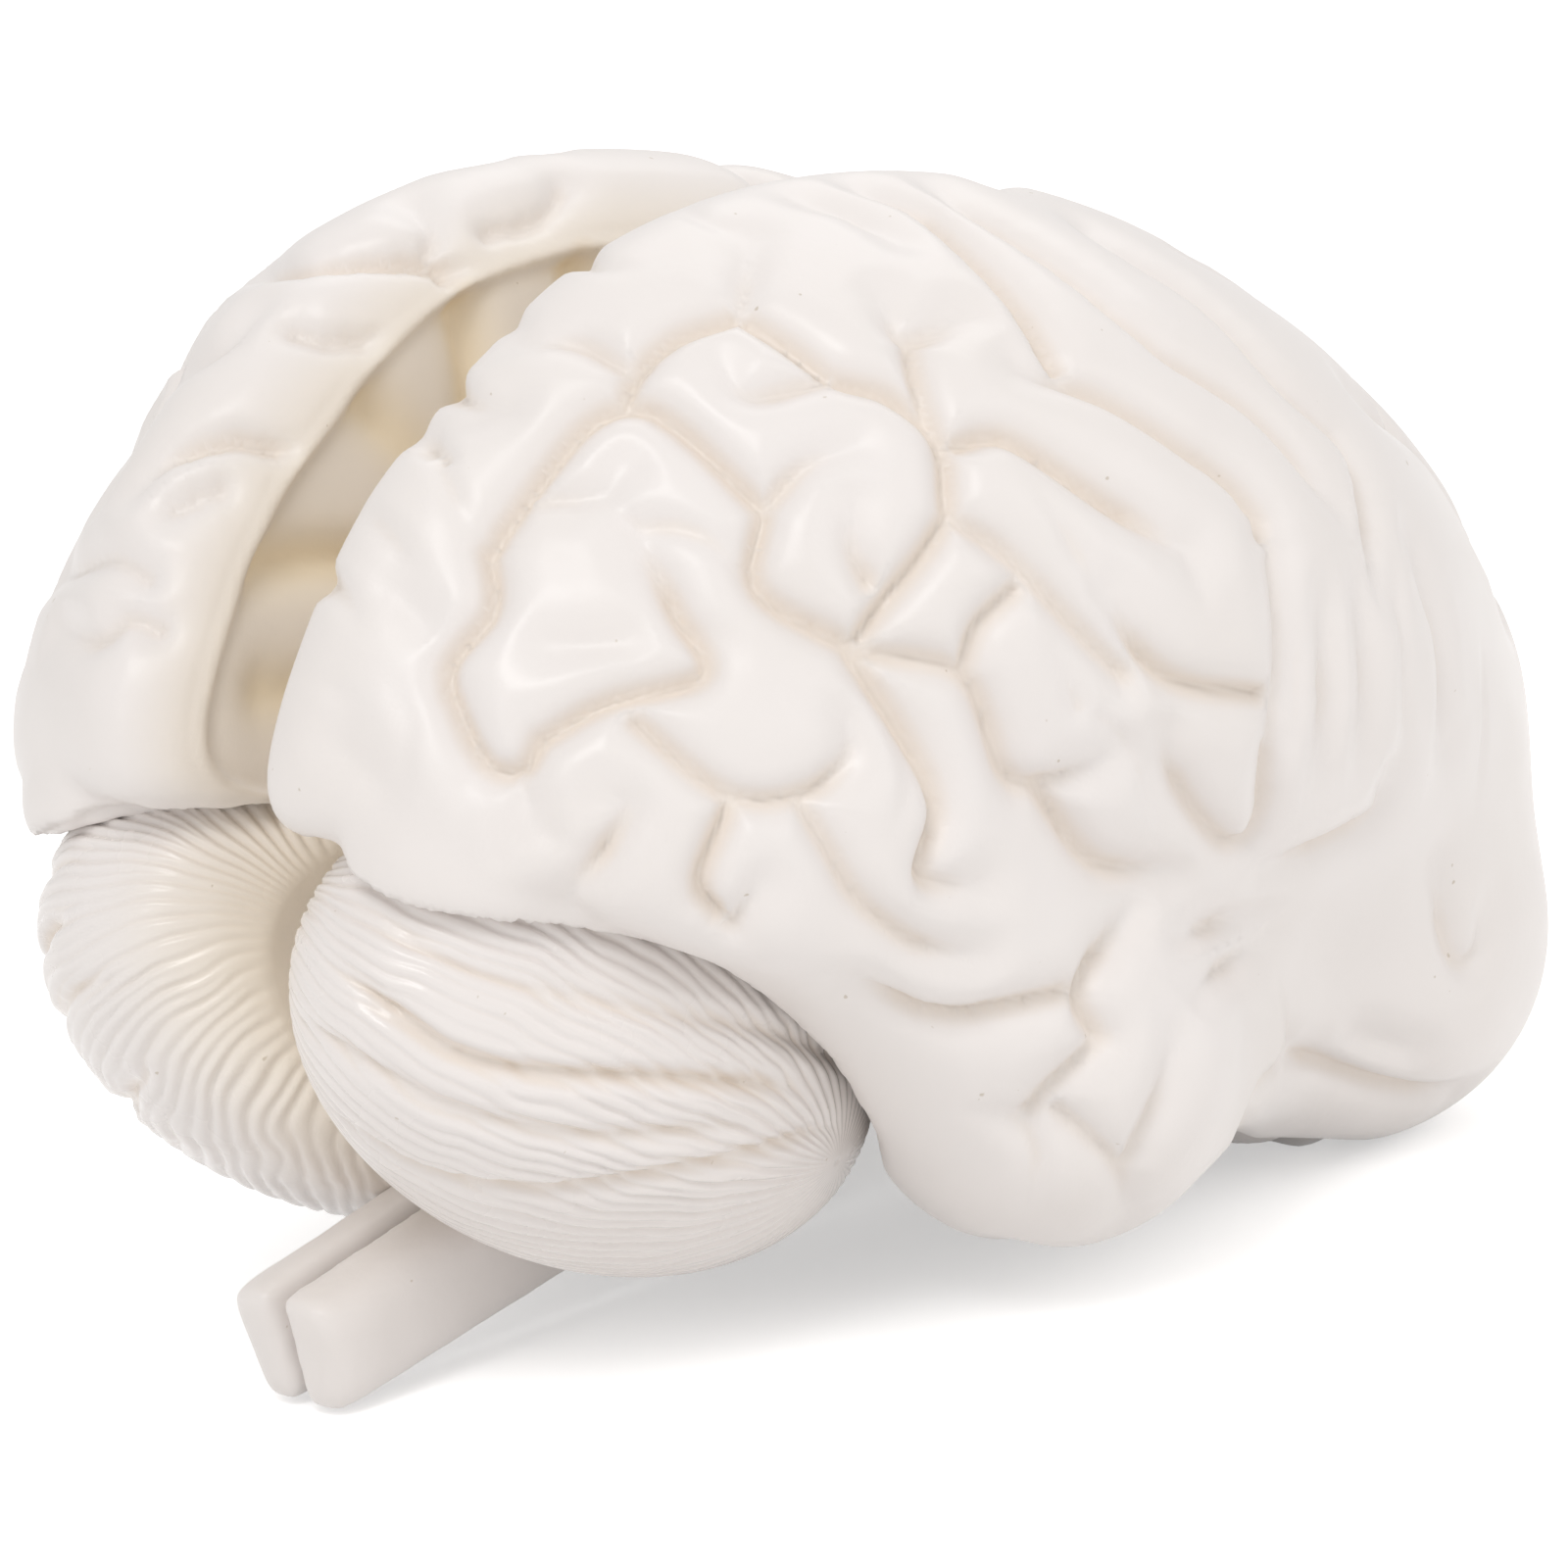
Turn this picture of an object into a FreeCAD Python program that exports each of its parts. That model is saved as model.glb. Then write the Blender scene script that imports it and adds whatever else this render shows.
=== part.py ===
import FreeCAD, Part
import math
import os
from FreeCAD import Placement, Rotation, Vector

# Life-size brain anatomy model in two halves that lean together, millimetres.
# Each half has a moulded hemisphere, a pegged cerebellum half and a pegged brainstem half.
# Half frame: x away from the flat inner wall, y to the forehead, z to the crown.

doc = FreeCAD.newDocument("brain_anatomy_model")
sheet = doc.addObject("Spreadsheet::Sheet", "Sizes")

SIZES = (
    ("half_width", 64.1, "hemisphere, inner wall to the widest point"),
    ("half_length", 76.1, "main dome, half of its front to back length"),
    ("dome_height", 46.5, "main dome, rise over its own middle"),
    ("dome_lift", 3.2, "middle of the main dome over the origin of the half"),
    ("frontal_width", 52.2, "frontal lobe"),
    ("frontal_length", 45.5, "frontal lobe, half length"),
    ("frontal_height", 40.0, "frontal lobe, half height"),
    ("frontal_forward", 40.1, "frontal lobe, place of its middle"),
    ("frontal_drop", 3.5, "frontal lobe, middle below the origin"),
    ("occipital_width", 51.4, "occipital lobe"),
    ("occipital_length", 45.0, "occipital lobe, half length"),
    ("occipital_height", 44.7, "occipital lobe, half height"),
    ("occipital_back", 41.1, "occipital lobe, place of its middle"),
    ("occipital_drop", 25.2, "occipital lobe, middle below the origin"),
    ("temporal_back_radius", 20.9, "temporal lobe, rear end"),
    ("temporal_front_radius", 16.5, "temporal lobe, front end"),
    ("temporal_out", 43.6, "temporal lobe, rear middle from the inner wall"),
    ("temporal_drop", 39.7, "temporal lobe, rear middle below the origin"),
    ("temporal_reach", 30.9, "temporal lobe, place of the front end"),
    ("temporal_tail_radius", 14.5, "temporal lobe, where it runs into the occipital lobe"),
    ("temporal_tail_back", 36.0, "place of that end behind the origin"),
    ("temporal_tail_drop", 24.0, "that end below the origin"),
    ("uncus_radius", 12.0, "swelling on the inner side of the temporal lobe"),
    ("uncus_out", 23.5, "its middle from the inner wall"),
    ("uncus_drop", 33.0, "its middle below the origin"),
    ("pole_width", 20.0, "occipital pole"),
    ("pole_length", 27.1, "occipital pole, half length"),
    ("pole_height", 23.0, "occipital pole, half height"),
    ("pole_back", 56.7, "occipital pole, place of its middle"),
    ("pole_drop", 8.9, "occipital pole, middle below the origin"),
    ("orbital_width", 26.8, "underside swelling of the frontal lobe"),
    ("orbital_length", 29.7, "underside swelling, half length"),
    ("orbital_height", 24.4, "underside swelling, half height"),
    ("orbital_forward", 52.5, "underside swelling, place of its middle"),
    ("base_rear", 36.1, "flat underside below the origin, at the back"),
    ("base_middle", 26.0, "flat underside below the origin, at the stem"),
    ("base_front", 17.5, "flat underside below the origin, at the front"),
    ("rim_round", 4.5, "rounding between outer surface and inner wall, in front and below"),
    ("rear_rim_round", 14.5, "the same rounding at the back and on the crown"),
    ("sulcus_depth", 3.1, "depth of a main sulcus"),
    ("sulcus_reach", 4.6, "from the bottom of a sulcus to the top of its side"),
    ("gyrus_crown", 1.25, "swelling of a gyrus between sulci"),
    ("cerebellum_width", 24.6, "cerebellum half, half of the whole oval's width"),
    ("cerebellum_length", 38.6, "cerebellum half, half length"),
    ("cerebellum_height", 24.6, "cerebellum half, half height"),
    ("cerebellum_out", 16.4, "cerebellum oval, middle from the inner wall"),
    ("cerebellum_back", 41.9, "cerebellum oval, place of its middle"),
    ("cerebellum_drop", 50.1, "cerebellum oval, middle below the origin"),
    ("cerebellum_tilt", 9.5, "degrees, nose down tilt of the oval"),
    ("cerebellum_rim_round", 7.0, "rounding between its folia and its inner wall"),
    ("folium_depth", 1.3, "groove between two folia"),
    ("wall_setback", 0.4, "inner walls of cerebellum and stem behind the wall plane"),
    ("seat_gap", 0.35, "clearance between mouldings that seat on each other"),
    ("stem_width", 7.4, "brainstem half, away from the inner wall"),
    ("stem_thickness", 13.6, "brainstem rod, measured in the side view"),
    ("stem_slope", 34.3, "degrees, rod below the horizontal of the half"),
    ("stem_length", 57.7, "rod from the tip to the pons"),
    ("stem_edge_round", 3.3, "rounded long edges of the brainstem"),
    ("stem_tip_back", 57.0, "middle of the tip behind the origin"),
    ("stem_tip_drop", 91.2, "middle of the tip below the origin"),
    ("pons_reach", 12.1, "front of the pons ahead of the origin"),
    ("peg_radius", 3.0, "locating peg"),
    ("stem_peg_radius", 2.0, "locating peg of the brainstem"),
    ("peg_length", 15.0, "locating peg"),
    ("peg_chamfer", 0.6, "locating peg ends"),
    ("peg_play", 0.12, "radial play of a peg in its hole"),
    ("peg_end_gap", 0.4, "clearance at each end of a peg"),
    ("half_splay", 3.22, "degrees, opening of each half towards the back"),
    ("half_lean", 5.46, "degrees, opening of each half towards the crown"),
    ("half_shift", 3.0, "shift of each half off the middle plane"),
    ("pitch_down", 22.48, "degrees, nose down pitch of the resting model"),
)
for row, (alias, value, note) in enumerate(SIZES, 1):
    sheet.set("A%d" % row, alias)
    sheet.set("B%d" % row, str(value))
    sheet.setAlias("B%d" % row, alias)
    sheet.set("C%d" % row, note)
doc.recompute()


def size(alias):
    return float(sheet.get(alias))


# Sulci of the right hemisphere, each with its share of the main depth and its route as
# seen from behind and to the right: pixels across and down on a 1600 pixel square view.
SEEN_SULCI = (
    (1.0, ((880, 196), (950, 225), (1030, 300), (1078, 372))),
    (0.8, ((960, 200), (1080, 275), (1180, 355), (1280, 420), (1365, 515))),
    (0.7, ((1110, 240), (1220, 310), (1300, 390), (1380, 470), (1405, 600))),
    (0.9, ((1040, 378), (1130, 405), (1240, 475), (1285, 520), (1292, 545))),
    (1.0, ((980, 450), (1030, 445), (1130, 510), (1185, 545), (1210, 560))),
    (0.5, ((820, 208), (870, 222), (915, 248))),
    (0.9, ((900, 310), (925, 345), (985, 325))),
    (0.9, ((930, 348), (938, 390), (955, 435))),
    (1.0, ((755, 317), (800, 345), (850, 380), (910, 400), (960, 445), (970, 525))),
    (1.0, ((970, 525), (940, 570), (900, 620), (880, 650))),
    (0.5, ((755, 317), (768, 250))),
    (1.0, ((755, 317), (690, 340), (650, 375), (638, 405))),
    (0.7, ((530, 350), (590, 348), (645, 378))),
    (0.7, ((735, 370), (768, 402), (850, 380))),
    (1.0, ((500, 560), (550, 490), (600, 430), (650, 412), (700, 440), (780, 520))),
    (1.0, ((780, 520), (775, 600), (870, 660))),
    (0.8, ((780, 520), (820, 475), (870, 455))),
    (0.8, ((868, 515), (870, 560), (888, 595))),
    (1.0, ((497, 560), (500, 620), (455, 685), (490, 775), (530, 785), (550, 755))),
    (1.0, ((550, 755), (620, 715), (720, 685), (690, 620), (650, 545))),
    (0.5, ((550, 510), (610, 505), (635, 480))),
    (0.6, ((560, 660), (640, 655))),
    (0.9, ((650, 735), (745, 810), (820, 810), (865, 775), (868, 735))),
    (1.0, ((745, 825), (715, 900), (735, 940))),
    (0.9, ((745, 950), (775, 905))),
    (0.7, ((530, 785), (545, 840))),
    (0.9, ((620, 815), (640, 830), (580, 920))),
    (0.8, ((820, 820), (850, 870), (880, 920), (940, 965), (1000, 975))),
    (1.0, ((870, 665), (940, 770), (960, 830), (945, 895), (1000, 905))),
    (0.9, ((880, 665), (985, 690), (1030, 790), (1070, 800), (1130, 775))),
    (0.9, ((1040, 600), (1000, 640), (985, 690))),
    (0.8, ((970, 525), (1030, 565), (1100, 640), (1150, 690))),
    (1.0, ((1130, 610), (1170, 670), (1215, 700), (1290, 710))),
    (0.8, ((1190, 745), (1195, 780), (1230, 840), (1262, 865), (1290, 835), (1297, 760))),
    (0.7, ((1290, 885), (1335, 870), (1400, 835), (1415, 790))),
    (0.5, ((1300, 560), (1308, 660), (1300, 760))),
    (0.5, ((1350, 620), (1352, 700), (1345, 790))),
    (0.4, ((1385, 600), (1392, 700), (1385, 770))),
    (0.5, ((1440, 560), (1465, 650), (1470, 760))),
    (0.6, ((1465, 880), (1480, 970), (1502, 980), (1515, 930))),
    (0.8, ((1205, 955), (1275, 935))),
    (0.6, ((1220, 1010), (1285, 960))),
    (0.9, ((1060, 805), (1120, 880), (1195, 890))),
    (0.9, ((1155, 925), (1105, 1010), (1125, 1060))),
    (0.9, ((870, 1000), (960, 1040), (1090, 1015))),
    (0.7, ((1130, 1060), (1075, 1110), (1050, 1135))),
    (0.6, ((1080, 1135), (1140, 1190), (1150, 1235))),
    (0.6, ((1200, 1060), (1180, 1130), (1150, 1190))),
    (0.8, ((1312, 1070), (1380, 1100), (1440, 1115), (1485, 1108))),
    (0.5, ((1380, 1055), (1435, 1068))),
    (0.4, ((450, 440), (520, 420))),
    (0.4, ((400, 600), (440, 640))),
    (0.4, ((350, 760), (390, 800))),
)

# Sulci that this view hides, each drawn in one plain view of the half, in millimetres.
PLAN_SULCI = (
    (0.9, ((21, 14), (23, 30), (20, 44), (22, 58), (17, 70))),
    (0.8, ((40, 26), (37, 40), (39, 52), (33, 66))),
    (0.6, ((22, 34), (30, 37), (37, 40))),
    (0.6, ((22, 58), (30, 56), (38, 58))),
    (0.6, ((4, 16), (13, 19))),
    (0.6, ((4, 36), (12, 41))),
    (0.6, ((4, 56), (11, 61))),
    (0.6, ((4, -6), (13, -10))),
)
FRONT_SULCI = (
    (0.8, ((9, -10), (18, -3), (30, -6), (41, 0))),
    (0.7, ((12, 24), (22, 18), (34, 22), (42, 18))),
    (0.5, ((21, 17), (24, 6), (19, -3))),
    (0.6, ((34, 22), (37, 8), (32, -5))),
    (0.6, ((8, 8), (9, -8))),
)
UNDER_SULCI = (
    (0.9, ((8, 30), (9, 48), (12, 70))),
    (0.7, ((22, 38), (23, 54), (21, 70))),
    (0.7, ((35, 38), (38, 54), (34, 68))),
    (0.6, ((23, 54), (38, 53))),
    (0.7, ((47, -2), (44, 16), (35, 33))),
    (0.6, ((33, -8), (31, 10), (26, 24))),
)

# Sulci of the left hemisphere in the same view, on the part that shows past the right one.
LEFT_SULCI = (
    (1.0, ((265, 282), (350, 266), (430, 268), (490, 290), (525, 322))),
    (0.9, ((140, 500), (170, 468), (225, 450), (275, 455), (322, 482))),
    (0.6, ((300, 338), (350, 352), (420, 348))),
    (0.6, ((420, 212), (445, 240), (440, 265))),
    (0.6, ((575, 195), (555, 225), (500, 240))),
    (0.6, ((65, 645), (95, 655), (130, 632), (165, 642))),
    (0.5, ((180, 520), (235, 500))),
    (0.5, ((190, 385), (240, 345), (262, 320))),
    (0.5, ((60, 590), (110, 570), (150, 590))),
)

# Sulci of the inner wall, in y and z of the half frame, shared by both hemispheres.
WALL_SULCI = (
    (0.9, ((-74, -9), (-58, -6), (-43, -7), (-32, -15))),
    (0.9, ((-54, 32), (-46, 15), (-43, -7))),
    (0.8, ((-37, 43), (-32, 28), (-13, 28), (13, 32), (41, 24), (58, 6), (52, -15), (37, -24))),
    (0.7, ((-24, -6), (-28, 7), (-13, 17), (11, 19), (32, 11), (37, -4), (26, -11))),
    (0.6, ((-11, 28), (-6, 43))),
    (0.5, ((19, 32), (24, 43))),
    (0.5, ((-65, 13), (-52, 6))),
    (0.5, ((-69, -22), (-52, -20), (-37, -24))),
    (0.5, ((58, 6), (71, 4))),
)

# The view: turned about the upright axis, tipped and rolled, from EYE_DISTANCE away. Its
# target is a place over the table, and the origin of the halves stands at STANDING there.
VIEW_AZIMUTH = 48.53
VIEW_ELEVATION = 14.01
VIEW_ROLL = -6.00
VIEW_TARGET = (-2.20, 0.00, 49.50)
VIEW_MIDDLE = (800.0, 800.0)
VIEW_PIXELS_PER_MM = 9.080
EYE_DISTANCE = 872.0
STANDING = (0.0, 6.29, 69.03)
HINGE_FORWARD = 56.0


def ellipsoid(p, middle, semi):
    qx = (p[0] - middle[0]) / semi[0]
    qy = (p[1] - middle[1]) / semi[1]
    qz = (p[2] - middle[2]) / semi[2]
    near = math.sqrt(qx * qx + qy * qy + qz * qz) + 1e-9
    gx, gy, gz = qx / semi[0], qy / semi[1], qz / semi[2]
    return near * (near - 1) / (math.sqrt(gx * gx + gy * gy + gz * gz) + 1e-9)


def capsule(p, a, b, ra, rb):
    ab = (b[0] - a[0], b[1] - a[1], b[2] - a[2])
    ap = (p[0] - a[0], p[1] - a[1], p[2] - a[2])
    t = (ap[0] * ab[0] + ap[1] * ab[1] + ap[2] * ab[2]) / (ab[0] ** 2 + ab[1] ** 2 + ab[2] ** 2)
    t = min(1.0, max(0.0, t))
    dx, dy, dz = ap[0] - t * ab[0], ap[1] - t * ab[1], ap[2] - t * ab[2]
    return math.sqrt(dx * dx + dy * dy + dz * dz) - (ra + t * (rb - ra))


def soft_least(values, k):
    least = min(values)
    return least - k * math.log(sum(math.exp((least - v) / k) for v in values))


def soft_most(values, k):
    return -soft_least([-v for v in values], k)


DOME = ((0, 0, size("dome_lift")),
        (size("half_width"), size("half_length"), size("dome_height")))
FRONTAL = ((0, size("frontal_forward"), -size("frontal_drop")),
           (size("frontal_width"), size("frontal_length"), size("frontal_height")))
OCCIPITAL = ((3.3, -size("occipital_back"), -size("occipital_drop")),
             (size("occipital_width"), size("occipital_length"), size("occipital_height")))
ORBITAL = ((28.4, size("orbital_forward"), -22.4),
           (size("orbital_width"), size("orbital_length"), size("orbital_height")))
TEMPORAL_REAR = (size("temporal_out"), -1.0, -size("temporal_drop"))
TEMPORAL_FRONT = (size("temporal_out") - 11.3, size("temporal_reach"),
                  9.0 - size("temporal_drop"))
TEMPORAL_RADII = (size("temporal_back_radius"), size("temporal_front_radius"))
TEMPORAL_TAIL = (size("temporal_out") - 3.6, -size("temporal_tail_back"), -size("temporal_tail_drop"))
UNCUS = ((size("uncus_out"), -14.0, -size("uncus_drop")), (size("uncus_out") - 1.0, 14.0, 3.0 - size("uncus_drop")))
TAIL_RADII = (size("temporal_back_radius"), size("temporal_tail_radius"))
UNCUS_RADII = (size("uncus_radius"), size("uncus_radius") - 1.5)
POLE_FORM = ((4.0, -size("pole_back"), -size("pole_drop")),
             (size("pole_width"), size("pole_length"), size("pole_height")))
BASE = (size("base_rear"), size("base_middle"), size("base_front"))


def base_level(y):
    """Height of the flat underside over the length of the half."""
    if y < 18:
        t = min(1.0, max(0.0, (y + 28) / 46))
        return -(BASE[0] + t * (BASE[1] - BASE[0]))
    t = min(1.0, (y - 18) / 28)
    return -(BASE[1] + t * (BASE[2] - BASE[1]))


def hemisphere_field(p):
    """Signed distance, near enough, to the lobes melted into one form."""
    lobes = soft_least((ellipsoid(p, *DOME), ellipsoid(p, *FRONTAL), ellipsoid(p, *OCCIPITAL),
                        ellipsoid(p, *POLE_FORM)), 3.0)
    lobes = soft_most((lobes, base_level(p[1]) - p[2]), 3.0)
    temporal = capsule(p, TEMPORAL_REAR, TEMPORAL_FRONT, *TEMPORAL_RADII)
    tail = capsule(p, TEMPORAL_REAR, TEMPORAL_TAIL, *TAIL_RADII)
    uncus = capsule(p, *UNCUS, *UNCUS_RADII)
    lower = min(temporal, tail)
    return soft_least((lobes, lower, uncus, ellipsoid(p, *ORBITAL)), 4.0)


CEREBELLUM_MIDDLE = (size("cerebellum_out"), -size("cerebellum_back"), -size("cerebellum_drop"))
CEREBELLUM_SEMI = (size("cerebellum_width"), size("cerebellum_length"), size("cerebellum_height"))
TILT = -math.radians(size("cerebellum_tilt"))


def hollow_distance(d):
    """Distance along the unit direction d to the hollow that the cerebellum sits in."""
    grow = size("seat_gap") + 0.8
    c, s = math.cos(TILT), math.sin(TILT)
    m = CEREBELLUM_MIDDLE
    o = (-m[0], -(m[1] * c + m[2] * s), -(-m[1] * s + m[2] * c))
    v = (d[0], d[1] * c + d[2] * s, -d[1] * s + d[2] * c)
    semi = [a + grow for a in CEREBELLUM_SEMI]
    o = [o[i] / semi[i] for i in range(3)]
    v = [v[i] / semi[i] for i in range(3)]
    a = sum(k * k for k in v)
    b = sum(o[i] * v[i] for i in range(3))
    root = b * b - a * (sum(k * k for k in o) - 1)
    if root <= 0 or b >= 0:
        return 1e6
    return (-b - math.sqrt(root)) / a


def unit(v):
    n = math.sqrt(v[0] ** 2 + v[1] ** 2 + v[2] ** 2)
    return (v[0] / n, v[1] / n, v[2] / n)


RIM = size("rim_round")
REAR_RIM = size("rear_rim_round")


def outer_radius(d):
    """Distance along the unit direction d to the outside of the melted lobes."""
    far, near = 126.0, 120.0
    while near > 6 and hemisphere_field((d[0] * near, d[1] * near, d[2] * near)) > 0:
        far = near
        near -= 6.0
    for _ in range(9):
        t = (far + near) / 2
        if hemisphere_field((d[0] * t, d[1] * t, d[2] * t)) > 0:
            far = t
        else:
            near = t
    return (far + near) / 2


def surface_point(d):
    """Point of the smooth hemisphere in the unit direction d from the origin of the half."""
    t = min(outer_radius(d), hollow_distance(d))
    x, y, z = d[0] * t, d[1] * t, d[2] * t
    rho = math.hypot(y, z)
    if x < REAR_RIM and rho > 1:
        rearward = min(1.0, max(0.0, (-0.7 * y / rho + 0.75 * z / rho - 0.1) / 0.55))
        round_in = RIM + (REAR_RIM - RIM) * rearward
        x_in = min(x, round_in)
        inset = round_in - math.sqrt(max(0.0, round_in ** 2 - (round_in - x_in) ** 2))
        inset = min(inset, 0.8 * round_in)
        y *= 1 - inset / rho
        z *= 1 - inset / rho
    return (x, y, z)


def surface_normal(d):
    """Outward normal of the smooth hemisphere in the direction d."""
    a = unit((0.0, d[2], -d[1])) if abs(d[0]) < 0.999 else (0.0, 1.0, 0.0)
    b = (d[1] * a[2] - d[2] * a[1], d[2] * a[0] - d[0] * a[2], d[0] * a[1] - d[1] * a[0])
    h = 0.03
    sides = []
    for k in (a, b):
        ends = []
        for s in (-h, h):
            e = unit((max(0.0, d[0] + s * k[0]), d[1] + s * k[1], d[2] + s * k[2]))
            ends.append(surface_point(e))
        sides.append([ends[1][i] - ends[0][i] for i in range(3)])
    u, v = sides
    n = (u[1] * v[2] - u[2] * v[1], u[2] * v[0] - u[0] * v[2], u[0] * v[1] - u[1] * v[0])
    n = unit(n)
    if n[0] * d[0] + n[1] * d[1] + n[2] * d[2] < 0:
        n = (-n[0], -n[1], -n[2])
    return n


# Where the halves stand. Each half leans and splays off the middle plane, then both pitch
# down until the stem tips and the frontal lobes carry the model.
def half_placement(side):
    lean = Rotation(Vector(0, 1, 0), side * size("half_lean"))
    splay = Rotation(Vector(0, 0, 1), side * size("half_splay"))
    hinge = Vector(0, HINGE_FORWARD, 0)
    turned = Placement(Vector(), lean)
    turned = Placement(hinge, splay) * Placement(-hinge, Rotation()) * turned
    return Placement(Vector(side * size("half_shift"), 0, 0), Rotation()) * turned


def stand_placement(side):
    pitch = Rotation(Vector(1, 0, 0), -size("pitch_down"))
    return Placement(Vector(), pitch) * half_placement(side)


def view_axes():
    a, e, r = (math.radians(k) for k in (VIEW_AZIMUTH, VIEW_ELEVATION, VIEW_ROLL))
    back = Vector(math.sin(a) * math.cos(e), -math.cos(a) * math.cos(e), math.sin(e))
    across = Vector(math.cos(a), math.sin(a), 0)
    up = back.cross(across)
    return back, across * math.cos(r) + up * math.sin(r), up * math.cos(r) - across * math.sin(r)


def met(eye, ray, start, reach, side=1):
    """Unit direction to where a line first meets the form, or comes nearest to it."""
    t = start
    best = (1e9, None)
    while t < start + reach:
        p = eye + ray * t
        x = p.x * side
        f = hemisphere_field((abs(x), p.y, p.z)) if x > -2 else 5.0
        if f < best[0] and x > -2:
            best = (f, (max(x, 0.0), p.y, p.z))
        if f < 0.1:
            break
        t += max(0.4, 0.6 * f)
    return unit(best[1])


def seen_direction(pixel, side):
    """Direction, in the half frame of a right half, of the surface behind a view pixel."""
    back, across, up = view_axes()
    ray = across * ((pixel[0] - VIEW_MIDDLE[0]) / VIEW_PIXELS_PER_MM)
    ray = ray - up * ((pixel[1] - VIEW_MIDDLE[1]) / VIEW_PIXELS_PER_MM) - back * EYE_DISTANCE
    standing = Placement(Vector(*STANDING), Rotation()) * stand_placement(side)
    inverse = standing.inverse()
    eye = inverse.multVec(Vector(*VIEW_TARGET) + back * EYE_DISTANCE)
    ray = inverse.Rotation.multVec(ray)
    ray.normalize()
    return met(eye, ray, EYE_DISTANCE - 140, 280, side)


def dropped(point, view):
    """Direction of the surface under a point of the plan, front or underside drawing."""
    a, b = point
    if view == "plan":
        return met(Vector(a, b, 70), Vector(0, 0, -1), 0, 140)
    if view == "front":
        return met(Vector(a, 110, b), Vector(0, -1, 0), 0, 140)
    return met(Vector(a, b, -90), Vector(0, 0, 1), 0, 140)


def spread(points, step):
    """Points at even steps along a chain of points."""
    out = [points[0]]
    for a, b in zip(points, points[1:]):
        n = max(1, int(round(math.dist(a, b) / step)))
        for k in range(1, n + 1):
            out.append(tuple(a[i] + (b[i] - a[i]) * k / n for i in range(len(a))))
    return out


def drawn_routes(side):
    """Sulci of one hemisphere as chains of surface points, with their shares of depth."""
    chains = []
    for share, pixels in SEEN_SULCI:
        if side < 0 and max(p[0] for p in pixels) < 560:
            continue
        chains.append((share, [surface_point(seen_direction(p, 1)) for p in spread(pixels, 26)]))
    for view, drawing in (("plan", PLAN_SULCI), ("front", FRONT_SULCI), ("under", UNDER_SULCI)):
        for share, line in drawing:
            chains.append((share, [surface_point(dropped(p, view)) for p in spread(line, 4)]))
    if side < 0:
        own = [(share, [surface_point(seen_direction(p, -1)) for p in spread(pixels, 26)])
               for share, pixels in LEFT_SULCI]
        taken = [p for _, chain in own for p in chain]
        clear = []
        for share, chain in chains:
            kept = [p for p in chain if min(math.dist(p, q) for q in taken) > 7]
            if len(kept) > 2:
                clear.append((share, kept))
        chains = clear + own
    return [(share, spread(chain, 4.4)) for share, chain in chains]


class Near:
    """Finds stored points near a place, by cubes of one cell each."""

    def __init__(self, cell):
        self.cell = cell
        self.cubes = {}

    def key(self, p):
        return tuple(int(math.floor(c / self.cell)) for c in p)

    def add(self, p, value=None):
        self.cubes.setdefault(self.key(p), []).append((p, value))

    def around(self, p):
        k = self.key(p)
        for i in (-1, 0, 1):
            for j in (-1, 0, 1):
                for m in (-1, 0, 1):
                    yield from self.cubes.get((k[0] + i, k[1] + j, k[2] + m), ())

    def clear(self, p, gap):
        return all(math.dist(p, q) >= gap for q, _ in self.around(p))


def triangulate(points):
    """Delaunay triangles of flat points, by growing the mesh one point at a time."""
    order = sorted(range(len(points)), key=lambda i: points[i])
    reach = 10 * max(max(abs(c) for c in p) for p in points)
    pts = list(points) + [(-3 * reach, -reach), (3 * reach, -reach), (0.0, 3 * reach)]
    n = len(points)

    def circle(i, j, k):
        ax, ay = pts[i]
        bx, by = pts[j][0] - ax, pts[j][1] - ay
        cx, cy = pts[k][0] - ax, pts[k][1] - ay
        d = 2 * (bx * cy - by * cx)
        if abs(d) < 1e-12:
            return (i, j, k, ax, ay, 1e30)
        ux = (cy * (bx * bx + by * by) - by * (cx * cx + cy * cy)) / d
        uy = (bx * (cx * cx + cy * cy) - cx * (bx * bx + by * by)) / d
        return (i, j, k, ax + ux, ay + uy, ux * ux + uy * uy)

    still_open = [circle(n, n + 1, n + 2)]
    done = []
    for i in order:
        x, y = pts[i]
        edges = {}
        keep = []
        for t in still_open:
            dx = x - t[3]
            if dx > 0 and dx * dx > t[5]:
                done.append(t)
                continue
            dy = y - t[4]
            if dx * dx + dy * dy > t[5]:
                keep.append(t)
                continue
            for e in ((t[0], t[1]), (t[1], t[2]), (t[2], t[0])):
                k = (min(e), max(e))
                edges[k] = edges.get(k, 0) + 1
        still_open = keep
        still_open += [circle(a, b, i) for (a, b), times in edges.items() if times == 1]
    out = []
    for a, b, c, _, _, _ in done + still_open:
        if max(a, b, c) < n:
            area = ((pts[b][0] - pts[a][0]) * (pts[c][1] - pts[a][1])
                    - (pts[b][1] - pts[a][1]) * (pts[c][0] - pts[a][0]))
            if abs(area) > 1e-9:
                out.append((a, b, c) if area > 0 else (a, c, b))
    return out


def solid_from(points, triangles):
    shape = Part.Shape()
    shape.makeShapeFromMesh(([Vector(*p) for p in points], triangles), 0.001)
    solid = Part.Solid(Part.Shell(shape.Faces))
    if solid.Volume < 0:
        solid.reverse()
    return solid


RIM_POINTS = 112
FILL_GAP = 5.2
SIDE_GAP = 2.9
MAIN_SHARE = 0.6
CHART = (76.0, 52.0)
DEPTH = size("sulcus_depth")
REACH = size("sulcus_reach")
CROWN = size("gyrus_crown")


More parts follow.
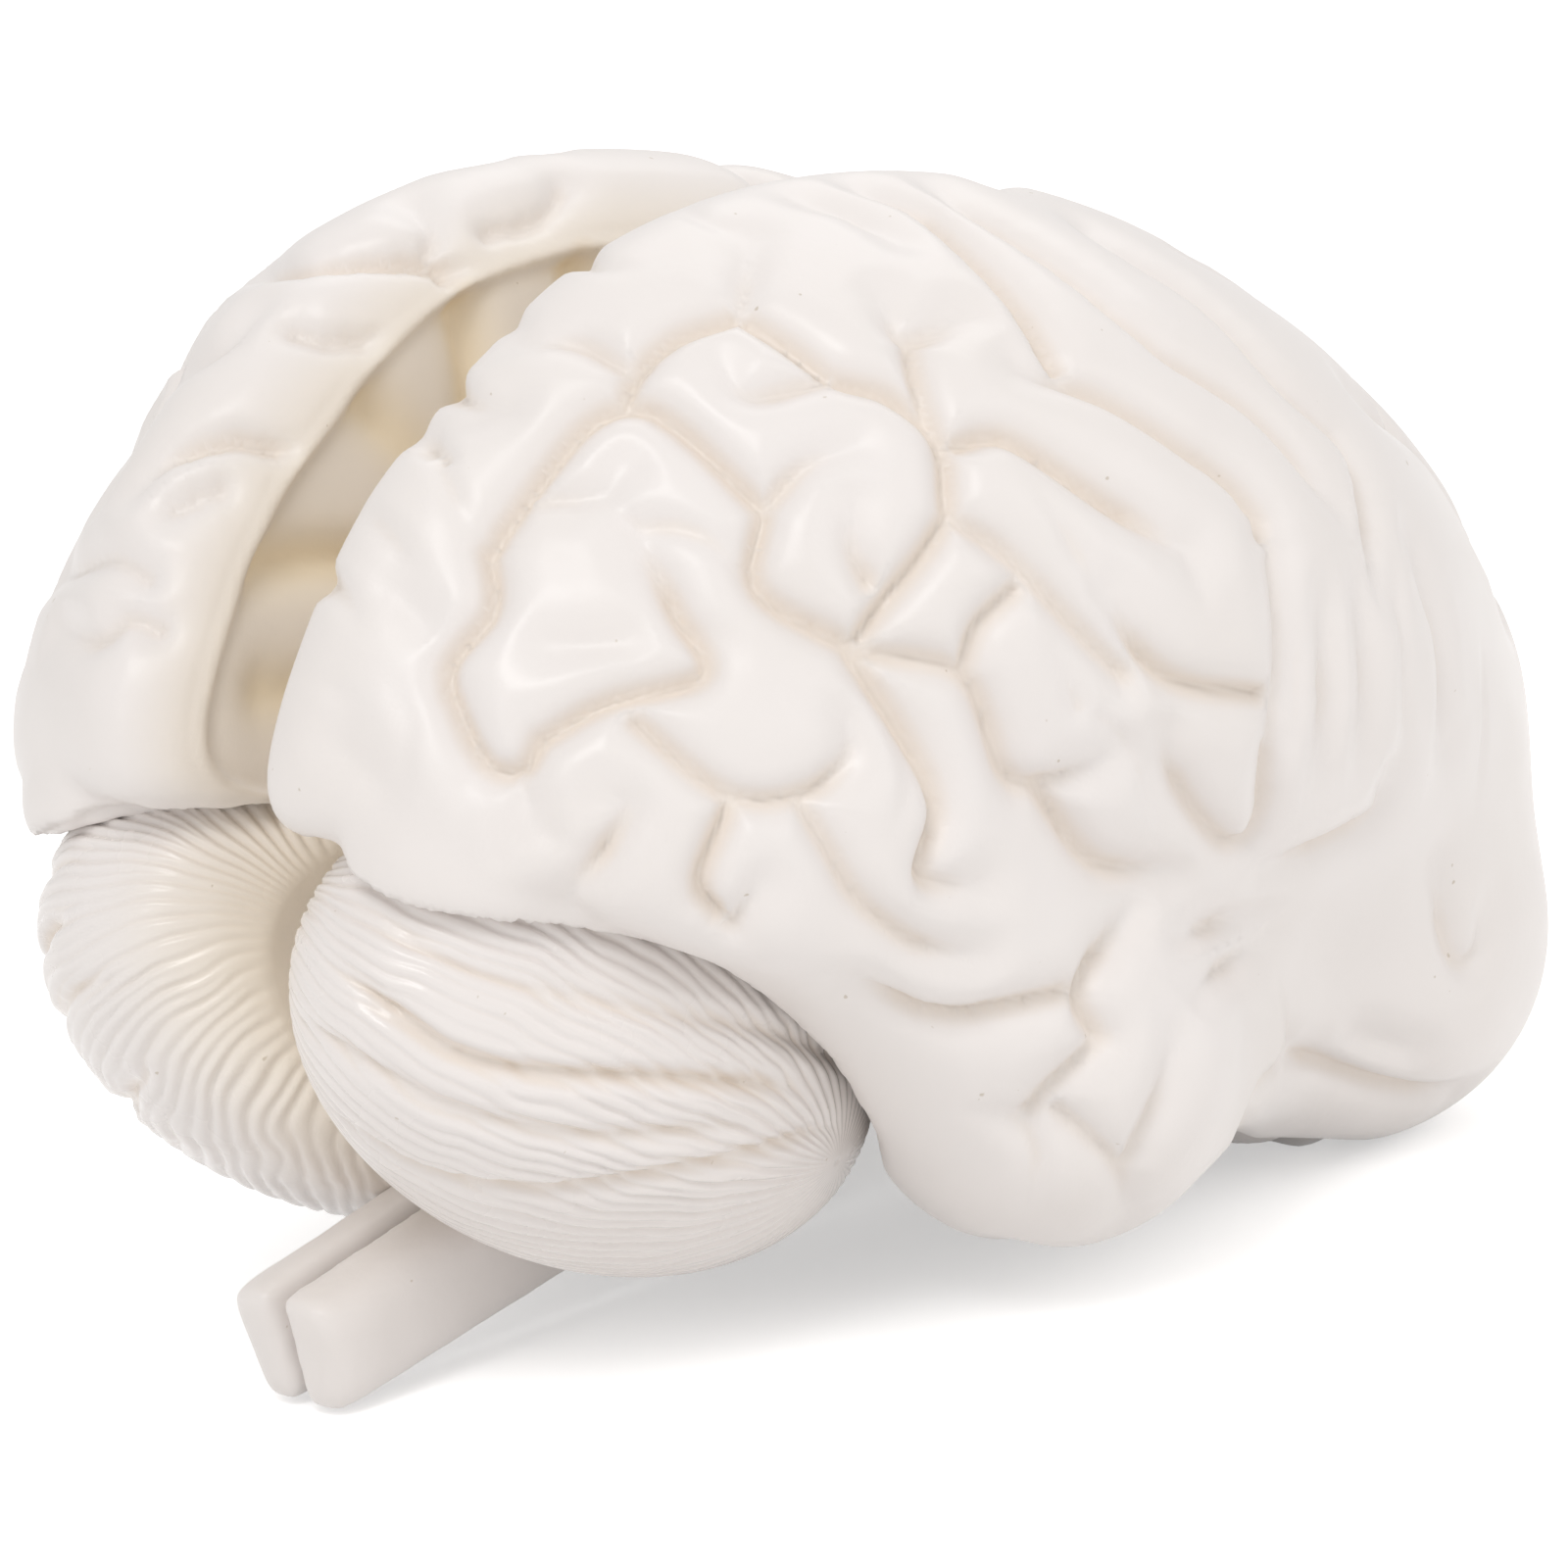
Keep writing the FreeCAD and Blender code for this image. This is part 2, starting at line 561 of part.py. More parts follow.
def relief(p, routes):
    """Height of the folded surface over the smooth one: rounded gyri that meet in sulci."""
    deepest = 0.0
    nearest = 9.0
    for q, share in routes.around(p):
        d = math.dist(p, q)
        nearest = min(nearest, d)
        side = max(0.0, 1 - math.sqrt(d * d + 0.16) / REACH)
        deepest = max(deepest, DEPTH * share * side * side)
    return CROWN * (1 - math.exp(-(nearest / 6.0) ** 2)) - deepest


def hollow_edge():
    """Points of the edge round the hollow for the cerebellum."""
    def covered(theta, a):
        d = (math.cos(theta), math.sin(theta) * math.cos(a), math.sin(theta) * math.sin(a))
        return hollow_distance(d) < outer_radius(d)

    out = []
    for k in range(150):
        a = 2 * math.pi * k / 150
        last = covered(0.02, a)
        for i in range(1, 45):
            theta = 0.02 + i * (math.pi / 2 - 0.02) / 44
            now = covered(theta, a)
            if now != last:
                low, high = theta - (math.pi / 2 - 0.02) / 44, theta
                for _ in range(10):
                    middle = (low + high) / 2
                    if covered(middle, a) == last:
                        low = middle
                    else:
                        high = middle
                out.append(surface_point((math.cos(low), math.sin(low) * math.cos(a),
                                          math.sin(low) * math.sin(a))))
            last = now
    return out


def hemisphere_solid(side):
    """One moulded hemisphere: outer surface, rounded rim and folded inner wall."""
    chains = [(share, chain) for share, chain in drawn_routes(side) if share >= MAIN_SHARE]
    fine = Near(9.0)
    for share, chain in chains:
        close = spread(chain, 1.4)
        for i, p in enumerate(close):
            from_end = min(i, len(close) - 1 - i)
            fine.add(p, share * min(1.0, 0.5 + 0.12 * from_end))
    taken = Near(6.0)
    directions = []

    def accept(p, gap):
        if p[0] > 5.0 and taken.clear(p, gap):
            taken.add(p)
            directions.append(unit(p))

    for _, chain in chains:
        for p in chain:
            accept(p, 2.5)
    for p in hollow_edge():
        accept(p, 2.5)
    for _, chain in chains:
        for a, b in zip(chain, chain[1:]):
            p = [(a[k] + b[k]) / 2 for k in range(3)]
            along = unit([b[k] - a[k] for k in range(3)])
            n = surface_normal(unit(p))
            across = (along[1] * n[2] - along[2] * n[1], along[2] * n[0] - along[0] * n[2],
                      along[0] * n[1] - along[1] * n[0])
            for s in (-SIDE_GAP, SIDE_GAP):
                q = surface_point(unit([p[k] + s * across[k] for k in range(3)]))
                if all(math.dist(q, r) > 2.3 for r, _ in fine.around(q)):
                    accept(q, 2.4)
    for ring in range(0, 55):
        theta = math.radians(1.6 * ring)
        count = max(1, 6 * ring)
        for k in range(count):
            a = 2 * math.pi * (k + 0.37 * ring) / count
            d = (math.cos(theta), math.sin(theta) * math.cos(a), math.sin(theta) * math.sin(a))
            q = surface_point(unit(d))
            if all(math.dist(q, r) > 2.3 for r, _ in fine.around(q)):
                accept(q, 4.2 if hollow_distance(unit(d)) < 100 else FILL_GAP)
    for k in range(RIM_POINTS):
        a = 2 * math.pi * (k + 0.5) / RIM_POINTS
        edge = surface_point((0.0, math.cos(a), math.sin(a)))
        reach = math.hypot(edge[1], edge[2])
        directions.append(unit((2.4, math.cos(a) * reach, math.sin(a) * reach)))
    rim_start = len(directions)
    for k in range(RIM_POINTS):
        a = 2 * math.pi * k / RIM_POINTS
        directions.append((0.0, math.cos(a), math.sin(a)))

    chart = []
    points = []
    for i, d in enumerate(directions):
        theta = math.acos(min(1.0, d[0]))
        a = math.atan2(d[2], d[1])
        chart.append((theta * math.cos(a) * CHART[0], theta * math.sin(a) * CHART[1]))
        p = surface_point(d)
        lift = relief(p, fine)
        if i >= rim_start:
            n = unit((0.0, d[1], d[2]))
            lift = min(lift, 0.3)
        else:
            n = surface_normal(d)
        if hollow_distance(d) < outer_radius(d):
            lift = min(lift, 0.0)
        points.append((p[0] + n[0] * lift, p[1] + n[1] * lift, p[2] + n[2] * lift))
    triangles = triangulate(chart)

    wall_routes = Near(9.0)
    wall = []
    wall_taken = Near(6.0)
    chains = [(share, spread([(0.0, y, z) for y, z in line], 5.0)) for share, line in WALL_SULCI]
    rim = points[rim_start:]

    def wall_share(p):
        a = math.atan2(p[2], p[1]) % (2 * math.pi)
        k = a / (2 * math.pi) * RIM_POINTS
        i = int(k) % RIM_POINTS
        q, r = rim[i], rim[(i + 1) % RIM_POINTS]
        t = k - int(k)
        reach = (1 - t) * math.hypot(q[1], q[2]) + t * math.hypot(r[1], r[2])
        return math.hypot(p[1], p[2]) / reach

    def accept_wall(p, gap):
        if wall_share(p) < 0.94 and wall_taken.clear(p, gap):
            wall_taken.add(p)
            wall.append(p)

    for share, chain in chains:
        for p in spread(chain, 1.5):
            wall_routes.add(p, share)
        for p in chain:
            accept_wall(p, 2.5)
        for a, b in zip(chain, chain[1:]):
            t = unit([b[k] - a[k] for k in range(3)])
            for s in (-3.2, 3.2):
                accept_wall((0.0, a[1] - s * t[2], a[2] + s * t[1]), 3.0)
    for i in range(-9, 10):
        for j in range(-7, 8):
            accept_wall((0.0, 10.0 * i + 5.0 * (j % 2), 9.0 * j + 0.01 * i), 6.5)
    wall_chart = []
    wall_index = []
    for k in range(RIM_POINTS):
        a = 2 * math.pi * k / RIM_POINTS
        wall_chart.append((math.cos(a) * CHART[0], math.sin(a) * CHART[1]))
        wall_index.append(rim_start + k)
    for p in wall:
        s = wall_share(p)
        a = math.atan2(p[2], p[1])
        wall_chart.append((s * math.cos(a) * CHART[0], s * math.sin(a) * CHART[1]))
        wall_index.append(len(points))
        sink = max(0.0, CROWN - relief(p, wall_routes)) * min(1.0, (1 - s) * 9)
        sink += 0.1 + 0.08 * math.sin(1.7 * p[1] + 2.3 * p[2])
        points.append((sink, p[1], p[2]))
    for a, b, c in triangulate(wall_chart):
        triangles.append((wall_index[a], wall_index[c], wall_index[b]))
    if side < 0:
        points = [(-x, y, z) for x, y, z in points]
        triangles = [(a, c, b) for a, b, c in triangles]
    return solid_from(points, triangles)


FOLIA = 30
FOLIUM_ROWS = 9
POLE = unit((0.80, 0.58, -0.12))


def turned_by_tilt(p):
    c, s = math.cos(TILT), math.sin(TILT)
    return (p[0], p[1] * c - p[2] * s, p[1] * s + p[2] * c)


def cerebellum_solid(side):
    """One cerebellum half: an oval cut by the inner wall, its folia running from the outer
    front pole to the wall like the lines of a shell."""
    first = unit((-POLE[1], POLE[0], 0.0))
    second = (POLE[1] * first[2] - POLE[2] * first[1], POLE[2] * first[0] - POLE[0] * first[2],
              POLE[0] * first[1] - POLE[1] * first[0])
    wall_x = size("wall_setback")
    rim = size("cerebellum_rim_round")
    columns = 2 * FOLIA

    def oval(theta, phi):
        c, s = math.cos(theta), math.sin(theta)
        d = [c * POLE[k] + s * (math.cos(phi) * first[k] + math.sin(phi) * second[k])
             for k in range(3)]
        p = turned_by_tilt([d[k] * CEREBELLUM_SEMI[k] for k in range(3)])
        n = turned_by_tilt(unit([d[k] / CEREBELLUM_SEMI[k] for k in range(3)]))
        near = min(1.0, max(0.0, (rim - p[0] - CEREBELLUM_MIDDLE[0]) / rim))
        ease = 1 - (1 - math.sqrt(1 - near * near)) * rim / CEREBELLUM_SEMI[2]
        return (p[0] + CEREBELLUM_MIDDLE[0], p[1] * ease + CEREBELLUM_MIDDLE[1],
                p[2] * ease + CEREBELLUM_MIDDLE[2]), n

    def wall_angle(phi):
        low, high = 0.6, math.pi
        for _ in range(22):
            middle = (low + high) / 2
            if oval(middle, phi)[0][0] > wall_x:
                low = middle
            else:
                high = middle
        return low

    points = [oval(0.0, 0.0)[0]]
    for row in range(1, FOLIUM_ROWS + 1):
        t = row / FOLIUM_ROWS
        for i in range(columns):
            phi = 2 * math.pi * i / columns
            wave = 0.10 * math.sin(2.6 * t * math.pi + 2 * phi) * t * (1 - t) * 4
            end = wall_angle(phi + wave)
            p, n = oval(end * t, phi + wave)
            deep = size("folium_depth") * (0.75 + 0.35 * math.sin(5.0 * i + 2.0 * t))
            lift = -deep if i % 2 else 0.25 * deep
            lift *= min(1.0, 3.5 * t)
            x = p[0] + n[0] * lift if row < FOLIUM_ROWS else wall_x
            points.append((x, p[1] + n[1] * lift, p[2] + n[2] * lift))
    wall = [1 + (FOLIUM_ROWS - 1) * columns + i for i in range(columns)]
    middle = [sum(points[i][k] for i in wall) / columns for k in range(3)]
    ring = []
    for i in wall[::4]:
        q = points[i]
        ring.append(len(points))
        points.append((wall_x + 1.4, middle[1] + 0.72 * (q[1] - middle[1]),
                       middle[2] + 0.72 * (q[2] - middle[2])))
    hub = len(points)
    points.append((wall_x + 0.8, middle[1], middle[2]))
    triangles = []
    for i in range(columns):
        j = (i + 1) % columns
        triangles.append((0, 1 + i, 1 + j))
        for row in range(FOLIUM_ROWS - 1):
            a, b = 1 + row * columns + i, 1 + row * columns + j
            c, d = a + columns, b + columns
            triangles += [(a, c, d), (a, d, b)]
    for k, a in enumerate(ring):
        b = ring[(k + 1) % len(ring)]
        outer = [wall[(4 * k + m) % columns] for m in range(5)]
        for m in range(4):
            triangles.append((outer[m], a if m < 2 else b, outer[m + 1]))
        triangles.append((outer[2], a, b))
        triangles.append((a, hub, b))
    if side < 0:
        points = [(-x, y, z) for x, y, z in points]
        triangles = [(a, c, b) for a, b, c in triangles]
    return solid_from(points, triangles)


# Side view of the brainstem half: a straight rod from the tip, a swollen pons, and a top
# cut along the underside of the hemisphere.
def stem_outline(grow):
    slope = math.radians(size("stem_slope"))
    along = (math.cos(slope), math.sin(slope))
    over = (-along[1], along[0])
    half = size("stem_thickness") / 2 + grow
    tip = (-size("stem_tip_back") - along[0] * grow, -size("stem_tip_drop") - along[1] * grow)
    run = size("stem_length")

    def at(s, t):
        return (tip[0] + s * along[0] + t * over[0], tip[1] + s * along[1] + t * over[1])

    front = size("pons_reach") + grow
    back = front - size("stem_thickness") - 10.0 - 2 * grow
    top_gap = size("seat_gap") - grow
    return [at(0, -half), at(run * 0.72, -half - 0.6), at(run, -half - 2.2),
            (front - 3.0, -57.5 - grow), (front, -50.0), (front - 1.0, base_level(front) - top_gap),
            (back, base_level(back) - top_gap), (back + 1.0, -54.0), at(run * 0.72, half + 0.8),
            at(0, half)]


def stem_channel(side, length):
    """The space that the brainstem half takes, with its clearance."""
    outline = stem_outline(size("seat_gap"))
    points = [Vector(0, y, z) for y, z in outline]
    face = Part.Face(Part.makePolygon(points + points[:1]))
    solid = face.extrude(Vector(side * length, 0, 0))
    solid.translate(Vector(-side * 1.0, 0, 0))
    return solid


def octagon(radius):
    """Corners of the eight-sided pegs and holes, by the distance of their flats."""
    reach = radius / math.cos(math.pi / 8)
    return [(reach * math.cos(math.pi * (k + 0.5) / 4), reach * math.sin(math.pi * (k + 0.5) / 4))
            for k in range(8)]


def upright_hole(x, y, z, side, radius):
    deep = size("peg_length") / 2 + size("peg_end_gap")
    corners = [Vector(side * x + a, y + b, z - deep)
               for a, b in octagon(radius + size("peg_play"))]
    return Part.Face(Part.makePolygon(corners + corners[:1])).extrude(Vector(0, 0, 2 * deep))


def hollow_top(x, y):
    """Height of the cerebellum's upper surface at a place in plan."""
    low, high = CEREBELLUM_MIDDLE[2], CEREBELLUM_MIDDLE[2] + 60
    c, s = math.cos(TILT), math.sin(TILT)
    for _ in range(40):
        z = (low + high) / 2
        v = (x - CEREBELLUM_MIDDLE[0], y - CEREBELLUM_MIDDLE[1], z - CEREBELLUM_MIDDLE[2])
        w = (v[0], v[1] * c + v[2] * s, -v[1] * s + v[2] * c)
        if sum((w[k] / CEREBELLUM_SEMI[k]) ** 2 for k in range(3)) < 1:
            low = z
        else:
            high = z
    return low


PEG_PLACES = ((11.0, -52.0), (28.0, -34.0))
STEM_PEG = (size("wall_setback") + size("stem_width") / 2, 1.0)


def add_feature(name, shape, side):
    item = doc.addObject("Part::Feature", name)
    item.Label = name
    item.Shape = shape
    item.Placement = stand_placement(side)
    return item


def add_peg(name, x, y, z, side, radius):
    """An eight-sided peg with chamfered ends, upright in the half frame."""
    body = doc.addObject("PartDesign::Body", name)
    body.Label = name
    sketch = body.newObject("Sketcher::SketchObject", name + "_octagon")
    sketch.AttachmentSupport = [(body.Origin.OriginFeatures[3], "")]
    sketch.MapMode = "FlatFace"
    corners = octagon(radius)
    for a, b in zip(corners, corners[1:] + corners[:1]):
        sketch.addGeometry(Part.LineSegment(Vector(a[0], a[1], 0), Vector(b[0], b[1], 0)))
    pad = body.newObject("PartDesign::Pad", name + "_pad")
    pad.Profile = sketch
    pad.setExpression("Length", "Sizes.peg_length")
    pad.SideType = "Symmetric"
    doc.recompute()
    ends = ["Edge%d" % i for i, edge in enumerate(pad.Shape.Edges, 1)
            if edge.BoundBox.ZMax - edge.BoundBox.ZMin < 0.01]
    chamfer = body.newObject("PartDesign::Chamfer", name + "_chamfer")
    chamfer.Base = (pad, ends)
    chamfer.setExpression("Size", "Sizes.peg_chamfer")
    body.Placement = stand_placement(side) * Placement(Vector(side * x, y, z), Rotation())
    return body


def add_stem(name, side):
    """A brainstem half: the side view padded off the inner wall, its long edges rounded."""
    body = doc.addObject("PartDesign::Body", name)
    body.Label = name
    sketch = body.newObject("Sketcher::SketchObject", name + "_side_view")
    sketch.AttachmentSupport = [(body.Origin.OriginFeatures[5], "")]
    sketch.MapMode = "FlatFace"
    sketch.AttachmentOffset = Placement(Vector(0, 0, side * size("wall_setback")), Rotation())
    corners = stem_outline(0.0)
    for a, b in zip(corners, corners[1:] + corners[:1]):
        sketch.addGeometry(Part.LineSegment(Vector(a[0], a[1], 0), Vector(b[0], b[1], 0)))
    pad = body.newObject("PartDesign::Pad", name + "_pad")
    pad.Profile = sketch
    pad.setExpression("Length", "Sizes.stem_width")
    pad.Reversed = side < 0
    doc.recompute()
    rounded = []
    for i, edge in enumerate(pad.Shape.Edges, 1):
        box = edge.BoundBox
        outer = abs(abs(box.XMin) - size("stem_width") - size("wall_setback")) < 0.01
        if outer and abs(box.XMax - box.XMin) < 0.01 and box.ZMax < -34:
            rounded.append("Edge%d" % i)
    fillet = body.newObject("PartDesign::Fillet", name + "_rounding")
    fillet.Base = (pad, rounded)
    fillet.setExpression("Radius", "Sizes.stem_edge_round")
    hole = body.newObject("Sketcher::SketchObject", name + "_peg_circle")
    hole.AttachmentSupport = [(body.Origin.OriginFeatures[3], "")]
    hole.MapMode = "FlatFace"
    seat = base_level(STEM_PEG[1])
    hole.AttachmentOffset = Placement(Vector(0, 0, seat + 6.0), Rotation())
    corners = [Vector(side * STEM_PEG[0] + a, STEM_PEG[1] + b, 0)
               for a, b in octagon(size("stem_peg_radius") + size("peg_play"))]
    for a, b in zip(corners, corners[1:] + corners[:1]):
        hole.addGeometry(Part.LineSegment(a, b))
    pocket = body.newObject("PartDesign::Pocket", name + "_peg_hole")
    pocket.Profile = hole
    pocket.Length = 6.0 + size("peg_length") / 2 + size("peg_end_gap")
    body.Placement = stand_placement(side)
    return body


def add_half(side, word):
    past_stem = 1.0 + size("wall_setback") + size("stem_width") + size("seat_gap")
    hemisphere = hemisphere_solid(side).cut(stem_channel(side, past_stem))
    cerebellum = cerebellum_solid(side)
    cerebellum = cerebellum.cut(stem_channel(side, size("stem_width") + 2.5))
    nodes = []
    for k, (x, y) in enumerate(PEG_PLACES, 1):
        z = hollow_top(x, y) + size("seat_gap") / 2
        hole = upright_hole(x, y, z, side, size("peg_radius"))
        hemisphere = hemisphere.cut(hole)
        cerebellum = cerebellum.cut(hole)
        nodes.append(add_peg("cerebellum_peg_%s_%d" % (word, k), x, y, z, side,
                             size("peg_radius")))
    seat = base_level(STEM_PEG[1])
    radius = size("stem_peg_radius")
    hemisphere = hemisphere.cut(upright_hole(STEM_PEG[0], STEM_PEG[1], seat, side, radius))
    nodes.append(add_peg("brainstem_peg_%s" % word, STEM_PEG[0], STEM_PEG[1], seat, side, radius))
    nodes.append(add_feature("hemisphere_%s" % word, hemisphere, side))
    nodes.append(add_feature("cerebellum_half_%s" % word, cerebellum, side))
    nodes.append(add_stem("brainstem_half_%s" % word, side))
    return nodes


nodes = add_half(1, "right") + add_half(-1, "left")
doc.recompute()

# The model is set down on the table, over the middle of its footprint.
whole = FreeCAD.BoundBox()
for item in nodes:
    whole.add(item.Shape.BoundBox)
set_down = Placement(Vector(0, -whole.Center.y, -whole.ZMin), Rotation())
for item in nodes:
    item.Placement = set_down * item.Placement
doc.recompute()

for item in doc.Objects:
    if "Invalid" in item.State or "Error" in item.State:
        raise RuntimeError("%s did not build: %s" % (item.Label, item.State))
os.makedirs("parts", exist_ok=True)
for item in nodes:
    if item.Shape.isNull() or not item.Shape.isValid():
        raise RuntimeError("%s has no valid shape" % item.Label)
    item.Shape.exportStep(os.path.join("parts", item.Label + ".step"))
    box = item.Shape.BoundBox
    print(item.Label, len(item.Shape.Solids), len(item.Shape.Faces), round(item.Shape.Volume),
          [round(v, 1) for v in (box.XMin, box.YMin, box.ZMin, box.XMax, box.YMax, box.ZMax)])
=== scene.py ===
import math

import bmesh
import bpy
import numpy as np
from mathutils import Matrix, Vector, kdtree


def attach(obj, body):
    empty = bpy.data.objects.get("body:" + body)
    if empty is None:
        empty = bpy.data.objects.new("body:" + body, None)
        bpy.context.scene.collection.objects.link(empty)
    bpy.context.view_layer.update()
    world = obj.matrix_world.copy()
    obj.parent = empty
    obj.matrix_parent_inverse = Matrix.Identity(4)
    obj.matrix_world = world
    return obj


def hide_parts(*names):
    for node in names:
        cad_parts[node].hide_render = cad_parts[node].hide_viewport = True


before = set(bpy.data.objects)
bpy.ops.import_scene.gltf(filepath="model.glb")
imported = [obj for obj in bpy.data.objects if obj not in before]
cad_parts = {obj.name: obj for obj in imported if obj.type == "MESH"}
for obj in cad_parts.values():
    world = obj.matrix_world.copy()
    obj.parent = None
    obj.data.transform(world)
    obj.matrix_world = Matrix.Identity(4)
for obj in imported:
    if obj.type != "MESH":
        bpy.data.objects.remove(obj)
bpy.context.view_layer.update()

# The view. The camera stands behind the model, to its own right and a little above it.
# The folds are also drawn through this view, so its values are kept for them, in mm.
AZIMUTH, ELEVATION, ROLL = 48.535, 14.012, -6.000
TARGET = np.array((-2.20, -0.515, 49.733))
DISTANCE = 872.0
PIXELS_PER_MM = 9.080
FRAME_PIXELS = 1600
SENSOR = 36.0


def way_out(azimuth, elevation):
    """Direction from the model to a camera or lamp; azimuth 0 is straight behind the model."""
    a, e = math.radians(azimuth), math.radians(elevation)
    return np.array((math.sin(a) * math.cos(e), -math.cos(a) * math.cos(e), math.sin(e)))


BACK = way_out(AZIMUTH, ELEVATION)
level = np.array((math.cos(math.radians(AZIMUTH)), math.sin(math.radians(AZIMUTH)), 0.0))
upright = np.cross(BACK, level)
roll = math.radians(ROLL)
RIGHT = level * math.cos(roll) + upright * math.sin(roll)
UP = upright * math.cos(roll) - level * math.sin(roll)
camera = bpy.data.objects.new("camera", bpy.data.cameras.new("camera"))
bpy.context.scene.collection.objects.link(camera)
place = Matrix([list(v) for v in np.column_stack((RIGHT, UP, BACK))]).to_4x4()
place.translation = Vector((TARGET + BACK * DISTANCE) / 1000)
camera.matrix_world = place
camera.data.sensor_width = SENSOR
camera.data.lens = SENSOR * PIXELS_PER_MM * DISTANCE / FRAME_PIXELS
camera.data.clip_start = 0.05
camera.data.clip_end = 20.0
bpy.context.scene.camera = camera


# Hemispheres: hollow mouldings of soft ivory vinyl, one for each side, with all its lobes in
# one folded skin and a flat inner wall. They lean together on the table, nose down.
# Each is made as a right half, in mm, with x away from its wall, y to the forehead, z up.
SPLAY, LEAN, PITCH = 3.22, 5.46, 22.48
SHIFT, HINGE = 3.0, 56.0
SET_DOWN = (0.0, 5.775, 69.263)
SIDES = ((1, "right"), (-1, "left"))


def turn(axis, degrees):
    """The matrix of a turn about X, Y or Z."""
    return np.array(Matrix.Rotation(math.radians(degrees), 3, axis))


def half_turn_and_shift(side):
    """Turn and shift that take a point of a half to the table."""
    splay, pitch = turn("Z", side * SPLAY), turn("X", -PITCH)
    matrix = pitch @ splay @ turn("Y", side * LEAN)
    hinge = np.array((0.0, HINGE, 0.0))
    shift = pitch @ (np.array((side * SHIFT, 0.0, 0.0)) + hinge - splay @ hinge)
    return matrix, shift + np.array(SET_DOWN)


def ellipsoid(p, middle, semi):
    """Distance, near enough, to an ellipsoid; negative inside."""
    q = (p - middle) / semi
    near = np.linalg.norm(q, axis=-1) + 1e-9
    return near * (near - 1) / (np.linalg.norm(q / semi, axis=-1) + 1e-9)


def capsule(p, a, b, ra, rb):
    """Distance to a round-ended bar from a to b that tapers from radius ra to rb."""
    a, b = np.array(a), np.array(b)
    t = np.clip((p - a) @ (b - a) / np.dot(b - a, b - a), 0, 1)
    return np.linalg.norm(p - a - t[..., None] * (b - a), axis=-1) - (ra + t * (rb - ra))


def soft_least(values, k):
    """The least of several distances, melted over about k where they come close."""
    least = np.minimum.reduce(values)
    return least - k * np.log(sum(np.exp((least - v) / k) for v in values))


def base_level(y):
    """Height of the flat underside over the length of the half."""
    return np.interp(y, (-28, 18, 46), (-36.1, -26.0, -17.5))


def hemisphere_field(p):
    """Distance, near enough, to the lobes melted into one form."""
    crown = ellipsoid(p, (0, 0, 3.2), (64.1, 76.1, 46.5))
    frontal = ellipsoid(p, (0, 40.1, -3.5), (52.2, 45.5, 40.0))
    occipital = ellipsoid(p, (3.3, -41.1, -25.2), (51.4, 45.0, 44.7))
    pole = ellipsoid(p, (4, -56.7, -8.9), (20.0, 27.1, 23.0))
    lobes = soft_least([crown, frontal, occipital, pole], 3.0)
    lobes = -soft_least([-lobes, p[..., 2] - base_level(p[..., 1])], 3.0)
    temporal = capsule(p, (43.6, -1.0, -39.7), (32.3, 30.9, -30.7), 20.9, 16.5)
    tail = capsule(p, (43.6, -1.0, -39.7), (40.0, -36.0, -24.0), 20.9, 14.5)
    uncus = capsule(p, (23.5, -14.0, -33.0), (22.5, 14.0, -30.0), 12.0, 10.5)
    orbital = ellipsoid(p, (28.4, 52.5, -22.4), (26.8, 29.7, 24.4))
    return soft_least([lobes, np.minimum(temporal, tail), uncus, orbital], 4.0)


# The hollow for the cerebellum half follows its oval at a small gap. The rim between outer
# skin and inner wall is rounded, more so at the back.
CEREBELLUM_MIDDLE = np.array((16.4, -41.9, -50.1))
CEREBELLUM_SEMI = np.array((24.6, 38.6, 24.6))
TILT = turn("X", -9.5)
HOLLOW_GAP = 1.15
RIM, REAR_RIM = 4.5, 14.5


def rim_inset(p):
    """How far the rounded rim draws points in, and their distance from the middle line."""
    rho = np.hypot(p[..., 1], p[..., 2]) + 1e-9
    rearward = np.clip((-0.7 * p[..., 1] / rho + 0.75 * p[..., 2] / rho - 0.1) / 0.55, 0, 1)
    rim = RIM + (REAR_RIM - RIM) * rearward
    x = np.clip(p[..., 0], 0, rim)
    return np.minimum(rim - np.sqrt(np.maximum(0, rim ** 2 - (rim - x) ** 2)), 0.8 * rim), rho


def unrounded(p):
    """Points as they would lie without the rounded rim."""
    inset, rho = rim_inset(p)
    out = p.copy()
    out[..., 1:] *= (1 + inset / rho)[..., None]
    return out


def surface_points(d):
    """Points of the smooth hemisphere in the unit directions d from the origin of the half."""
    far = np.full(len(d), 126.0)
    near = np.full(len(d), 6.0)
    found = np.zeros(len(d), bool)
    for t in np.arange(120.0, 5.0, -6.0):
        inside = hemisphere_field(d * t) <= 0
        new = inside & ~found
        near[new], far[new] = t, t + 6.0
        found |= inside
    for _ in range(11):
        t = (near + far) / 2
        outside = hemisphere_field(d * t[:, None]) > 0
        far = np.where(outside, t, far)
        near = np.where(outside, near, t)
    t = (near + far) / 2
    semi = CEREBELLUM_SEMI + HOLLOW_GAP
    o = (-CEREBELLUM_MIDDLE @ TILT) / semi
    v = (d @ TILT) / semi
    qa, qb = (v * v).sum(1), v @ o
    root = qb * qb - qa * (o @ o - 1)
    hollow = np.where((root > 0) & (qb < 0), (-qb - np.sqrt(np.maximum(root, 0))) / qa, 1e6)
    p = d * np.minimum(t, hollow)[:, None]
    inset, rho = rim_inset(p)
    p[:, 1:] *= (1 - inset / np.maximum(rho, 1))[:, None]
    return p


